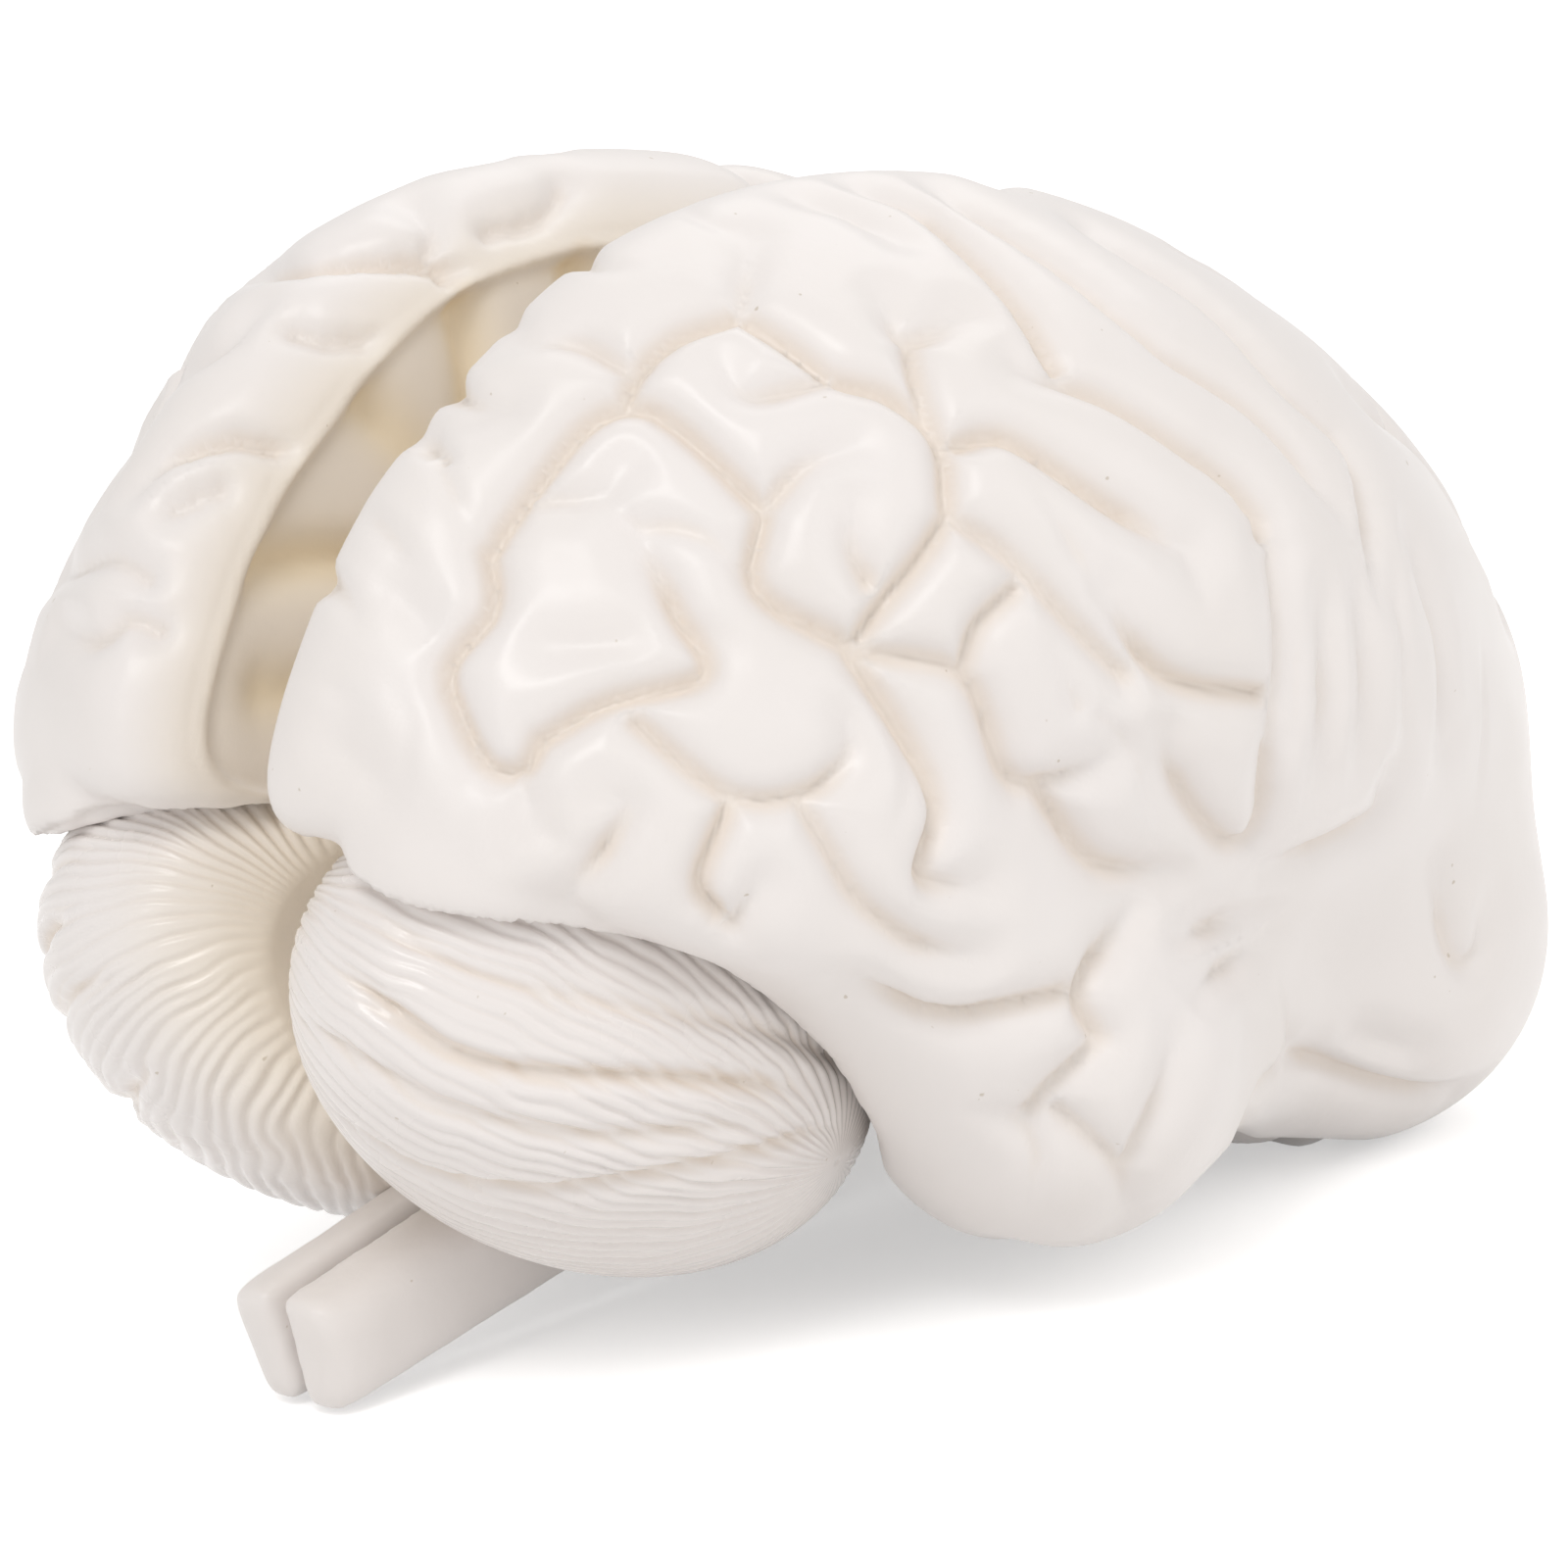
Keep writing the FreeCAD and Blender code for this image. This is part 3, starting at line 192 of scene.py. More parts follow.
def oval_field(q, grow=0.0):
    """Distance, near enough, to the cerebellum half's oval."""
    v = (q - CEREBELLUM_MIDDLE) @ TILT
    return (np.linalg.norm(v / (CEREBELLUM_SEMI + grow), axis=-1) - 1) * 24.0


def unit_rows(v):
    """Rows scaled to length 1."""
    return v / np.linalg.norm(v, axis=1)[:, None]


def rounded_line(points, step):
    """A smooth curve through given points, read at even steps."""
    points = np.array(points, float)
    ends = np.vstack((2 * points[0] - points[1], points, 2 * points[-1] - points[-2]))
    out = []
    for k in range(len(points) - 1):
        p0, p1, p2, p3 = ends[k:k + 4]
        n = max(1, int(np.linalg.norm(p2 - p1) / step))
        for t in np.arange(n) / n:
            out.append(0.5 * (2 * p1 + (p2 - p0) * t + (2 * p0 - 5 * p1 + 4 * p2 - p3) * t * t
                              + (3 * p1 - p0 - 3 * p2 + p3) * t ** 3))
    out.append(points[-1])
    return np.array(out)


def met(eye, ray, start, reach, field):
    """Where lines first meet a form, or come nearest to it."""
    ray = ray + 0 * eye
    t = np.full(len(eye), start)
    best, at = np.full(len(eye), 1e9), np.zeros((len(eye), 3))
    for _ in range(130):
        p = eye + ray * t[:, None]
        f = np.where(p[:, 0] > -2, field(np.abs(p) * (1, 0, 0) + p * (0, 1, 1)), 5.0)
        f = np.where(t > start + reach, 1e9, f)
        better = (f < best) & (p[:, 0] > -2)
        best = np.where(better, f, best)
        at = np.where(better[:, None], p, at)
        t = np.where(best > 0.05, t + np.maximum(0.4, 0.6 * np.minimum(f, 20)), t)
    at[:, 0] = np.maximum(at[:, 0], 0)
    return at


def seen_points(pixels, side, field):
    """Where the lines of sight through photograph pixels meet a half's form, in its frame."""
    matrix, shift = half_turn_and_shift(side)
    eye = (TARGET + BACK * DISTANCE - shift) @ matrix
    across, down = pixels[:, :1] - FRAME_PIXELS / 2, pixels[:, 1:] - FRAME_PIXELS / 2
    ray = (across * RIGHT - down * UP) / PIXELS_PER_MM
    ray = unit_rows((ray - BACK * DISTANCE) @ matrix)
    flip = np.array((side, 1, 1))
    return met(eye * flip + 0 * ray, ray * flip, DISTANCE - 140.0, 280.0, field)


# Step in pixels at which lines of the view are read.
VIEW_STEP = 6.0


def seen_folds(pixels, side):
    """Points of a hemisphere's smooth surface along a line drawn in the photograph."""
    line = rounded_line(pixels, VIEW_STEP)
    at = seen_points(line, side, lambda q: hemisphere_field(unrounded(q)))
    return surface_points(unit_rows(unrounded(at)))


# Sulci seen on the right hemisphere: share of the full depth, then pixels of the view.
SEEN_SULCI = (
    (1.0, ((880, 196), (950, 225), (1030, 300), (1078, 372))),
    (0.8, ((960, 200), (1080, 275), (1180, 355), (1280, 420), (1365, 515))),
    (0.7, ((1110, 240), (1220, 310), (1300, 390), (1380, 470), (1405, 600))),
    (0.9, ((1040, 378), (1130, 405), (1240, 475), (1285, 520), (1292, 545))),
    (1.0, ((980, 450), (1030, 445), (1130, 510), (1185, 545), (1210, 560))),
    (0.5, ((820, 208), (870, 222), (915, 248))),
    (0.9, ((900, 310), (925, 345), (985, 325))),
    (0.9, ((930, 348), (938, 390), (955, 435))),
    (1.0, ((755, 317), (800, 345), (850, 380), (910, 400), (960, 445), (970, 525))),
    (1.0, ((970, 525), (940, 570), (900, 620), (880, 650))),
    (0.5, ((755, 317), (768, 250))),
    (1.0, ((755, 317), (690, 340), (650, 375), (638, 405))),
    (0.7, ((530, 350), (590, 348), (645, 378))),
    (0.7, ((735, 370), (768, 402), (850, 380))),
    (1.0, ((500, 560), (550, 490), (600, 430), (650, 412), (700, 440), (780, 520))),
    (1.0, ((780, 520), (775, 600), (870, 660))),
    (0.8, ((780, 520), (820, 475), (870, 455))),
    (0.8, ((868, 515), (870, 560), (888, 595))),
    (1.0, ((497, 560), (500, 620), (455, 685), (490, 775), (530, 785), (550, 755))),
    (1.0, ((550, 755), (620, 715), (720, 685), (690, 620), (650, 545))),
    (0.5, ((550, 510), (610, 505), (635, 480))),
    (0.6, ((560, 660), (640, 655))),
    (0.9, ((650, 735), (745, 810), (820, 810), (865, 775), (868, 735))),
    (1.0, ((745, 825), (715, 900), (735, 940))),
    (0.9, ((745, 950), (775, 905))),
    (0.7, ((530, 785), (545, 840))),
    (0.9, ((620, 815), (640, 830), (580, 920))),
    (0.8, ((820, 820), (850, 870), (880, 920), (940, 965), (1000, 975))),
    (1.0, ((870, 665), (940, 770), (960, 830), (945, 895), (1000, 905))),
    (0.9, ((880, 665), (985, 690), (1030, 790), (1070, 800), (1130, 775))),
    (0.9, ((1040, 600), (1000, 640), (985, 690))),
    (0.8, ((970, 525), (1030, 565), (1100, 640), (1150, 690))),
    (1.0, ((1130, 610), (1170, 670), (1215, 700), (1290, 710))),
    (0.8, ((1190, 745), (1195, 780), (1230, 840), (1262, 865), (1290, 835), (1297, 760))),
    (0.7, ((1290, 885), (1335, 870), (1400, 835), (1415, 790))),
    (0.5, ((1300, 560), (1308, 660), (1300, 760))),
    (0.5, ((1350, 620), (1352, 700), (1345, 790))),
    (0.4, ((1385, 600), (1392, 700), (1385, 770))),
    (0.5, ((1440, 560), (1465, 650), (1470, 760))),
    (0.6, ((1465, 880), (1480, 970), (1502, 980), (1515, 930))),
    (0.8, ((1205, 955), (1275, 935))),
    (0.6, ((1220, 1010), (1285, 960))),
    (0.9, ((1060, 805), (1120, 880), (1195, 890))),
    (0.9, ((1155, 925), (1105, 1010), (1125, 1060))),
    (0.9, ((870, 1000), (960, 1040), (1090, 1015))),
    (0.7, ((1130, 1060), (1075, 1110), (1050, 1135))),
    (0.6, ((1080, 1135), (1140, 1190), (1150, 1235))),
    (0.6, ((1200, 1060), (1180, 1130), (1150, 1190))),
    (0.8, ((1312, 1070), (1380, 1100), (1440, 1115), (1485, 1108))),
    (0.5, ((1380, 1055), (1435, 1068))),
    (0.4, ((450, 440), (520, 420))),
    (0.4, ((400, 600), (440, 640))),
    (0.4, ((350, 760), (390, 800))),
)

# Finer creases seen on the right hemisphere, in the same way.
CREASES = (
    (0.9, ((612, 505), (650, 533), (695, 540), (735, 560), (768, 592))),
    (0.6, ((448, 468), (470, 520), (495, 565))),
    (0.4, ((618, 588), (650, 578))),
    (1.4, ((380, 528), (398, 545), (420, 575))),
    (1.4, ((458, 398), (482, 412), (515, 418))),
    (1.2, ((424, 448), (438, 456), (455, 475))),
    (1.2, ((336, 596), (352, 606), (372, 640))),
    (1.4, ((514, 342), (535, 335))),
    (1.2, ((592, 270), (615, 280), (640, 282))),
    (0.8, ((315, 690), (345, 700), (368, 725))),
    (0.8, ((700, 222), (725, 235), (760, 238))),
    (0.9, ((1058, 508), (1085, 545), (1110, 585), (1132, 612))),
    (0.9, ((1208, 560), (1215, 590), (1224, 615))),
    (0.8, ((1268, 505), (1276, 550), (1282, 585))),
    (0.8, ((985, 530), (1010, 553), (1030, 590))),
    (0.7, ((1070, 660), (1085, 690), (1100, 720))),
    (0.5, ((1325, 600), (1322, 700), (1318, 790))),
    (0.5, ((1418, 560), (1425, 680), (1428, 790))),
    (0.4, ((1500, 640), (1505, 740), (1495, 830))),
    (0.35, ((478, 800), (472, 850))),
    (0.35, ((508, 800), (512, 870))),
    (0.35, ((520, 800), (528, 860))),
    (0.6, ((1395, 930), (1385, 965), (1372, 1000))),
    (0.5, ((1165, 1005), (1185, 1000))),
    (0.7, ((985, 1125), (1030, 1140), (1055, 1170), (1050, 1230))),
    (0.8, ((1301, 1008), (1311, 1070), (1270, 1117), (1260, 1163))),
    (0.6, ((700, 640), (745, 652), (760, 690))),
    (0.6, ((905, 850), (925, 800), (915, 755))),
    (0.6, ((560, 850), (600, 870))),
    (0.5, ((400, 690), (420, 740), (415, 800))),
    (0.5, ((1120, 730), (1150, 760), (1180, 840))),
)

# Sulci that the view hides, drawn in plan, from the front and from below, in mm, and read
# from a plane well outside the half.
OUTSIDE = 110.0
PLAN_SULCI = (
    (0.9, ((21, 14), (23, 30), (20, 44), (22, 58), (17, 70))),
    (0.8, ((40, 26), (37, 40), (39, 52), (33, 66))),
    (0.6, ((22, 34), (30, 37), (37, 40))),
    (0.6, ((22, 58), (30, 56), (38, 58))),
    (0.6, ((4, 16), (13, 19))),
    (0.6, ((4, 36), (12, 41))),
    (0.6, ((4, 56), (11, 61))),
    (0.6, ((4, -6), (13, -10))),
)
FRONT_SULCI = (
    (0.8, ((9, -10), (18, -3), (30, -6), (41, 0))),
    (0.7, ((12, 24), (22, 18), (34, 22), (42, 18))),
    (0.5, ((21, 17), (24, 6), (19, -3))),
    (0.6, ((34, 22), (37, 8), (32, -5))),
    (0.6, ((8, 8), (9, -8))),
)
UNDER_SULCI = (
    (0.9, ((8, 30), (9, 48), (12, 70))),
    (0.7, ((22, 38), (23, 54), (21, 70))),
    (0.7, ((35, 38), (38, 54), (34, 68))),
    (0.6, ((23, 54), (38, 53))),
    (0.7, ((47, -2), (44, 16), (35, 33))),
    (0.6, ((33, -8), (31, 10), (26, 24))),
)

# Sulci seen on the left hemisphere past the right one. The left one takes the rest from the
# right one: lines that reach past a pixel column, where they stay clear of its own.
MIRRORED_PAST, CREASES_MIRRORED_PAST = 560, 900
CLEARANCE = 7
LEFT_SULCI = (
    (1.0, ((265, 282), (350, 266), (430, 268), (490, 290), (525, 322))),
    (0.9, ((140, 500), (170, 468), (225, 450), (275, 455), (322, 482))),
    (0.6, ((300, 338), (350, 352), (420, 348))),
    (0.6, ((420, 212), (445, 240), (440, 265))),
    (0.6, ((575, 195), (555, 225), (500, 240))),
    (0.6, ((65, 645), (95, 655), (130, 632), (165, 642))),
    (0.5, ((180, 520), (235, 500))),
    (0.5, ((190, 385), (240, 345), (262, 320))),
    (0.5, ((60, 590), (110, 570), (150, 590))),
)

# Sulci of the inner wall, in y and z of the half frame.
WALL_SULCI = (
    (0.9, ((-74, -9), (-58, -6), (-43, -7), (-32, -15))),
    (0.9, ((-54, 32), (-46, 15), (-43, -7))),
    (0.8, ((-37, 43), (-32, 28), (-13, 28), (13, 32), (41, 24), (58, 6), (52, -15), (37, -24))),
    (0.7, ((-24, -6), (-28, 7), (-13, 17), (11, 19), (32, 11), (37, -4), (26, -11))),
    (0.6, ((-11, 28), (-6, 43))),
    (0.5, ((19, 32), (24, 43))),
    (0.5, ((-65, 13), (-52, 6))),
    (0.5, ((-69, -22), (-52, -20), (-37, -24))),
    (0.5, ((58, 6), (71, 4))),
)

# Steps in mm at which drawn lines are first read and then evened out.
LINE_STEP, EVEN_STEP = 0.7, 0.5


def run_of(line):
    """Length along a line in space up to each of its points."""
    return np.concatenate(([0], np.cumsum(np.linalg.norm(np.diff(line, axis=0), axis=1))))


def evened(line):
    """Points of a line in space, read again at even steps."""
    run = run_of(line)
    at = np.linspace(0, run[-1], max(2, int(run[-1] / EVEN_STEP)))
    return np.column_stack([np.interp(at, run, line[:, k]) for k in range(3)])


def fading_ends(chains):
    """Chains with a share per point, fading at each end that meets no other chain."""
    out = []
    chains = [(share, evened(line)) for share, line in chains]
    for i, (share, line) in enumerate(chains):
        others = np.vstack([c for k, (_, c) in enumerate(chains) if k != i])
        shares = np.full(len(line), share)
        run = run_of(line)
        for end, along in ((0, run), (-1, run[-1] - run)):
            at_rim = 0 < line[end, 0] < 6
            if not at_rim and np.linalg.norm(others - line[end], axis=1).min() > 3.5:
                shares = shares * np.clip(0.15 + along / 9.0, 0, 1)
        out.append((shares, line))
    return out


def drawn_sulci(side):
    """All sulci of one hemisphere's outer side as points of its smooth form with shares."""
    chains = []
    for share, pixels in SEEN_SULCI:
        if side < 0 and max(p[0] for p in pixels) < MIRRORED_PAST:
            continue
        chains.append((share, seen_folds(pixels, 1)))
    for axis, way, drawing in ((2, -1, PLAN_SULCI), (1, -1, FRONT_SULCI), (2, 1, UNDER_SULCI)):
        ray = np.zeros(3)
        ray[axis] = way
        for share, drawn in drawing:
            eye = np.insert(rounded_line(drawn, LINE_STEP), axis, 0.0, axis=1) - OUTSIDE * ray
            at = met(eye, ray, 0.0, 2 * OUTSIDE, hemisphere_field)
            chains.append((share, surface_points(unit_rows(at))))
    fine = []
    for share, pixels in CREASES:
        if side > 0 or max(p[0] for p in pixels) > CREASES_MIRRORED_PAST:
            fine.append((share, seen_folds(pixels, 1)))
    if side < 0:
        own = [(share, seen_folds(pixels, -1)) for share, pixels in LEFT_SULCI]
        taken = np.vstack([line for _, line in own])
        clear = []
        for share, line in chains:
            far = np.array([np.linalg.norm(taken - p, axis=1).min() > CLEARANCE for p in line])
            if far.sum() > 4:
                clear.append((share, line[far]))
        chains = clear + own
    return fading_ends(chains), fading_ends(fine)


def tree_of(chains):
    """A search tree of the chains' points, with their shares."""
    points = np.vstack([line for _, line in chains])
    tree = kdtree.KDTree(len(points))
    for i, p in enumerate(points):
        tree.insert(p, i)
    tree.balance()
    return tree, np.concatenate([s for s, _ in chains])


def fold_at(points, tree, shares):
    """Distance to the nearest sulcus and that sulcus' share, for each point."""
    d, s = np.empty(len(points)), np.empty(len(points))
    for i, p in enumerate(points):
        _, k, d[i] = tree.find(p)
        s[i] = shares[k]
    return d, s


def remeshed(name, points, faces, voxel):
    """An even mesh over rough points and faces, as a new mesh in mm."""
    rough = bpy.data.meshes.new(name + "_rough")
    rough.from_pydata(points.tolist(), [], faces)
    holder = bpy.data.objects.new(name + "_rough", rough)
    bpy.context.scene.collection.objects.link(holder)
    change = holder.modifiers.new("even", "REMESH")
    change.mode = "VOXEL"
    change.voxel_size = voxel
    even = bpy.data.meshes.new_from_object(
        holder.evaluated_get(bpy.context.evaluated_depsgraph_get()))
    bpy.data.objects.remove(holder)
    bpy.data.meshes.remove(rough)
    even.name = name
    return even


def corners_of(mesh):
    """Places of a mesh's corners, one row each."""
    co = np.empty(len(mesh.vertices) * 3)
    mesh.vertices.foreach_get("co", co)
    return co.reshape(-1, 3)


def normals_of(mesh):
    """Normals of a mesh's corners, one row each."""
    no = np.empty(len(mesh.vertices) * 3)
    mesh.vertex_normals.foreach_get("vector", no)
    return no.reshape(-1, 3)


def relaxed(mesh, co, times, amount=0.5):
    """Corners eased towards their neighbours' middle."""
    edges = np.empty(len(mesh.edges) * 2, int)
    mesh.edges.foreach_get("vertices", edges)
    a, b = edges[0::2], edges[1::2]
    count = np.bincount(np.concatenate((a, b)), minlength=len(co))[:, None]
    for _ in range(times):
        total = np.column_stack([np.bincount(a, co[b, k], len(co)) + np.bincount(b, co[a, k], len(co))
                                 for k in range(3)])
        co = co + amount * (total / count - co)
    return co


def swell(p, size, seed):
    """Soft unevenness of a hand-carved master, from -1 to 1."""
    q = p / size + seed
    return (np.sin(q[:, 0] + 1.7 * np.sin(q[:, 1])) * np.sin(1.3 * q[:, 1] + np.sin(1.1 * q[:, 2]))
            + np.sin(1.2 * q[:, 2] + 1.3 * np.sin(q[:, 0] + 2.0))) / 2


def stand(co, side):
    """Points of a half, mirrored for a left one, taken to the table, in metres."""
    matrix, shift = half_turn_and_shift(side)
    return ((co * (side, 1, 1)) @ matrix.T + shift) / 1000


def marked_and_shown(mesh, marks):
    """A finished mesh with masks for its material and smooth shading, as an object."""
    for name, values in marks.items():
        mark = mesh.attributes.new(name, "FLOAT", "POINT")
        mark.data.foreach_set("value", values)
    mesh.shade_smooth()
    mesh.update()
    piece = bpy.data.objects.new(mesh.name, mesh)
    bpy.context.scene.collection.objects.link(piece)
    return piece


def finished(mesh, co, side, marks):
    """A half's mesh with its last corners, stood on the table, as an object."""
    if side < 0:
        mesh.flip_normals()
    mesh.vertices.foreach_set("co", stand(co, side).ravel())
    return marked_and_shown(mesh, marks)


# The occipital lobe hangs over the cerebellum down to this line of the view, in pixels.
# Around the edge's section go pixels above the line and mm off the cerebellum's oval.
LIP = ((362, 900), (400, 925), (450, 938), (500, 945), (600, 950), (700, 962))
LIP_STEP = 9.0
LIP_SECTION = ((135, 9.0), (100, 8.2), (70, 7.0), (42, 5.6), (18, 3.9), (3, 2.2), (3, 0.7), (62, 0.7),
               (135, 1.5))


def lip():
    """The overhanging edge: a rounded strip that lies a little off the cerebellum's oval."""
    line = rounded_line(LIP, LIP_STEP)
    rows = [seen_points(line - (0, up), 1, lambda q: oval_field(q, grow)) for up, grow in LIP_SECTION]
    points = np.stack(rows, axis=1).reshape(-1, 3)
    around, last = len(LIP_SECTION), len(points)
    faces = []
    for start in range(0, last - around, around):
        for k in range(around):
            m = (k + 1) % around
            faces.append((start + k, start + m, start + around + m, start + around + k))
    faces += [tuple(range(around)), tuple(range(last - 1, last - 1 - around, -1))]
    return points, faces


# Relief of the skin, in mm: height and reach of the gyri, depth and reach of the sulci, of
# the slit at their bottom and of the creases, and how far the flat wall sinks in its folds.
GYRUS, GYRUS_REACH = 1.25, 3.6
SULCUS, SULCUS_REACH = 2.5, 3.3
SLIT, SLIT_REACH = 0.8, 0.8
CREASE, CREASE_REACH = 1.7, 2.6
MOST_LIFT, UNEVEN = 1.2, 0.22
WALL_SULCUS, WALL_REACH = 2.2, 5.0
MOULD_RIDGE = 0.45
SKIN_VOXEL = 0.80
# The brainstem's flat seat, in mm from the inner wall and to either side of the origin.
SEAT_WIDTH, SEAT_REACH = 8.15, 13


def smooth_half(word):
    """A hemisphere's smooth skin with the overhanging edge melted on, and its corners."""
    ball = bmesh.new()
    bmesh.ops.create_icosphere(ball, subdivisions=7, radius=1.0)
    d = np.array([v.co for v in ball.verts])
    faces = [[v.index for v in f.verts] for f in ball.faces]
    ball.free()
    angle = np.arccos(np.clip(d[:, 0], -1, 1))
    ring = unit_rows(np.column_stack((np.zeros(len(d)), d[:, 1], d[:, 2])) + 1e-12)
    rim_angle = math.radians(120)
    outer = angle <= rim_angle
    theta = np.clip(angle / rim_angle, 0, 1) * math.pi / 2
    direction = ring * np.sin(theta)[:, None]
    direction[:, 0] = np.cos(theta)
    direction[~outer, 0] = 0.0
    points = surface_points(unit_rows(direction))
    share = np.clip((math.pi - angle) / (math.pi - rim_angle), 0, 1)
    points[~outer] *= share[~outer, None]
    points[:, 0] = np.maximum(points[:, 0], 0)
    more, strips = lip()
    faces += [tuple(k + len(points) for k in strip) for strip in strips]
    mesh = remeshed("moulded_hemisphere_" + word, np.vstack((points, more)), faces, SKIN_VOXEL)
    co = relaxed(mesh, corners_of(mesh), 5)
    near, _ = fold_at(co, *tree_of([(np.ones(len(more)), more)]))
    blend = np.clip((9 - near) / 4, 0, 1)[:, None]
    co = co + blend * (relaxed(mesh, co, 26) - co)
    mesh.vertices.foreach_set("co", co.ravel())
    mesh.update()
    return mesh, co


def groove(d, share, reach):
    """A rounded groove, 1 at its bottom and 0 at its reach."""
    return share * np.clip(1 - np.sqrt(d * d + 0.16) / reach, 0, 1) ** 2


def skin_relief(co, side):
    """Rise of the outer skin over its smooth form, and how deep in a fold each corner lies."""
    main, fine = drawn_sulci(side)
    d, s = fold_at(co, *tree_of(main))
    fine_d, fine_s = fold_at(co, *tree_of(fine))
    fold = groove(d, s, SULCUS_REACH)
    crease = fine_s * np.clip(1 - np.sqrt(fine_d * fine_d + 0.04) / CREASE_REACH, 0, 1) ** 1.6
    lift = (GYRUS * (1 - np.exp(-(d / GYRUS_REACH) ** 2)) - SULCUS * fold
            - SLIT * s * np.exp(-(d / SLIT_REACH) ** 2))
    lift += UNEVEN * swell(co, 6.5, 0.7 * side) - CREASE * crease
    lift = np.minimum(lift, MOST_LIFT)
    near_rim = np.clip(co[:, 0] / 5.0, 0, 1)
    lift = np.where(lift > 0, lift * (0.2 + 0.8 * near_rim), lift)
    semi = CEREBELLUM_SEMI + HOLLOW_GAP
    hollow = np.linalg.norm(((co - CEREBELLUM_MIDDLE) @ TILT) / semi, axis=1)
    lift = np.where(hollow < 1.04, np.minimum(lift, 0), lift)
    return lift, np.maximum(fold, 0.6 * crease)


def wall_relief(co):
    """Sinking of the inner wall, the mould ridge on its rim, a mask for its folds and one for the
    shade painted on the wall, deepest in its folds.
    """
    wall = fading_ends([(s, np.insert(rounded_line(line, LINE_STEP), 0, 0.0, axis=1))
                        for s, line in WALL_SULCI])
    d, s = fold_at(co * (0, 1, 1), *tree_of(wall))
    fold = groove(d, s, WALL_REACH)
    around = np.linspace(-math.pi, math.pi, 721)
    rim = surface_points(np.column_stack((0 * around, np.cos(around), np.sin(around))))
    reach = np.interp(np.arctan2(co[:, 2], co[:, 1]), around, np.hypot(rim[:, 1], rim[:, 2]))
    inside = reach - np.hypot(co[:, 1], co[:, 2])
    inward = np.clip(inside / 2.5, 0, 1)
    inward = inward * inward * (3 - 2 * inward)
    deep = np.exp(-(d / GYRUS_REACH) ** 2)
    sink = inward * (0.4 + 1.4 * deep + 0.5 * (1 + swell(co, 6.0, 3.0)) + WALL_SULCUS * fold)
    rearward = np.clip(-co[:, 1] / 40 + 0.6 * np.clip(co[:, 2] / 40, 0, 1), 0, 1)
    ridge = MOULD_RIDGE * rearward * np.exp(-(inside / 0.8) ** 2)
    # The last mask places painted shade on the wall: in from the rim and most deep in its folds.
    return sink, ridge, fold, inward * (0.35 + 0.65 * deep)


def hemisphere(side, word):
    mesh, co = smooth_half(word)
    flat = np.clip((0.9 - co[:, 0]) / 0.6, 0, 1)
    lift, fold = skin_relief(co, side)
    sink, ridge, wall_fold, wall_inner = wall_relief(co)
    co = co + normals_of(mesh) * (lift * (1 - flat))[:, None]
    co[:, 0] += sink * flat
    co[:, 0] = np.maximum(co[:, 0], 0.05) - ridge * (co[:, 0] < 4)
    seat = ((co[:, 0] < SEAT_WIDTH) & (np.abs(co[:, 1]) < SEAT_REACH)
            & (co[:, 2] < base_level(co[:, 1])))
    co[seat, 2] = base_level(co[seat, 1])
    co = relaxed(mesh, co, 1, 0.35)
    # Mask for the tan painted shade in the sulci and creases.
    fold = np.maximum(fold * (1 - flat), wall_fold * flat)
    # Mask for the cream painted shade near the rim and on the inner wall.
    inner = np.maximum(0.4 * np.clip(1 - co[:, 0] / 5.0, 0, 1) ** 2, flat * wall_inner)
    piece = finished(mesh, co, side, {"fold": fold, "inner": inner})
    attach(piece, "root")
    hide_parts("hemisphere_" + word)
    return piece


# Colours of the vinyl: ivory and its mottling, a tan that paints shade into its folds, a cream
# that paints warm shade onto its inner wall and into the gap, and specks of dirt.
IVORY, IVORY_DEEP, IVORY_ROSY = (0.855, 0.812, 0.79), (0.835, 0.79, 0.76), (0.85, 0.785, 0.75)
FOLD_SHADE_TAN, INNER_SHADE_CREAM, SPECK_BROWN = (0.82, 0.70, 0.57), (0.95, 0.83, 0.63), (0.45, 0.36, 0.24)


def noise(tree, where, scale, detail, rough=0.5):
    """A noise pattern on given coordinates; its scale is a number or a socket."""
    n = tree.nodes.new("ShaderNodeTexNoise")
    n.inputs["Detail"].default_value = detail
    n.inputs["Roughness"].default_value = rough
    tree.links.new(where, n.inputs["Vector"])
    if isinstance(scale, bpy.types.NodeSocket):
        tree.links.new(scale, n.inputs["Scale"])
    else:
        n.inputs["Scale"].default_value = scale
    return n.outputs["Fac"]


def ramp(tree, value, low, high, a, b):
    """A value taken from low..high to a..b."""
    n = tree.nodes.new("ShaderNodeMapRange")
    tree.links.new(value, n.inputs["Value"])
    for name, end in (("From Min", low), ("From Max", high), ("To Min", a), ("To Max", b)):
        if isinstance(end, bpy.types.NodeSocket):
            tree.links.new(end, n.inputs[name])
        else:
            n.inputs[name].default_value = end
    return n.outputs["Result"]


def mixed(tree, factor, a, b):
    """Two colours mixed by a factor."""
    n = tree.nodes.new("ShaderNodeMix")
    n.data_type = "RGBA"
    tree.links.new(factor, n.inputs["Factor"])
    for socket, colour in ((n.inputs["A"], a), (n.inputs["B"], b)):
        if isinstance(colour, tuple):
            socket.default_value = (*colour, 1.0)
        else:
            tree.links.new(colour, socket)
    return n.outputs["Result"]


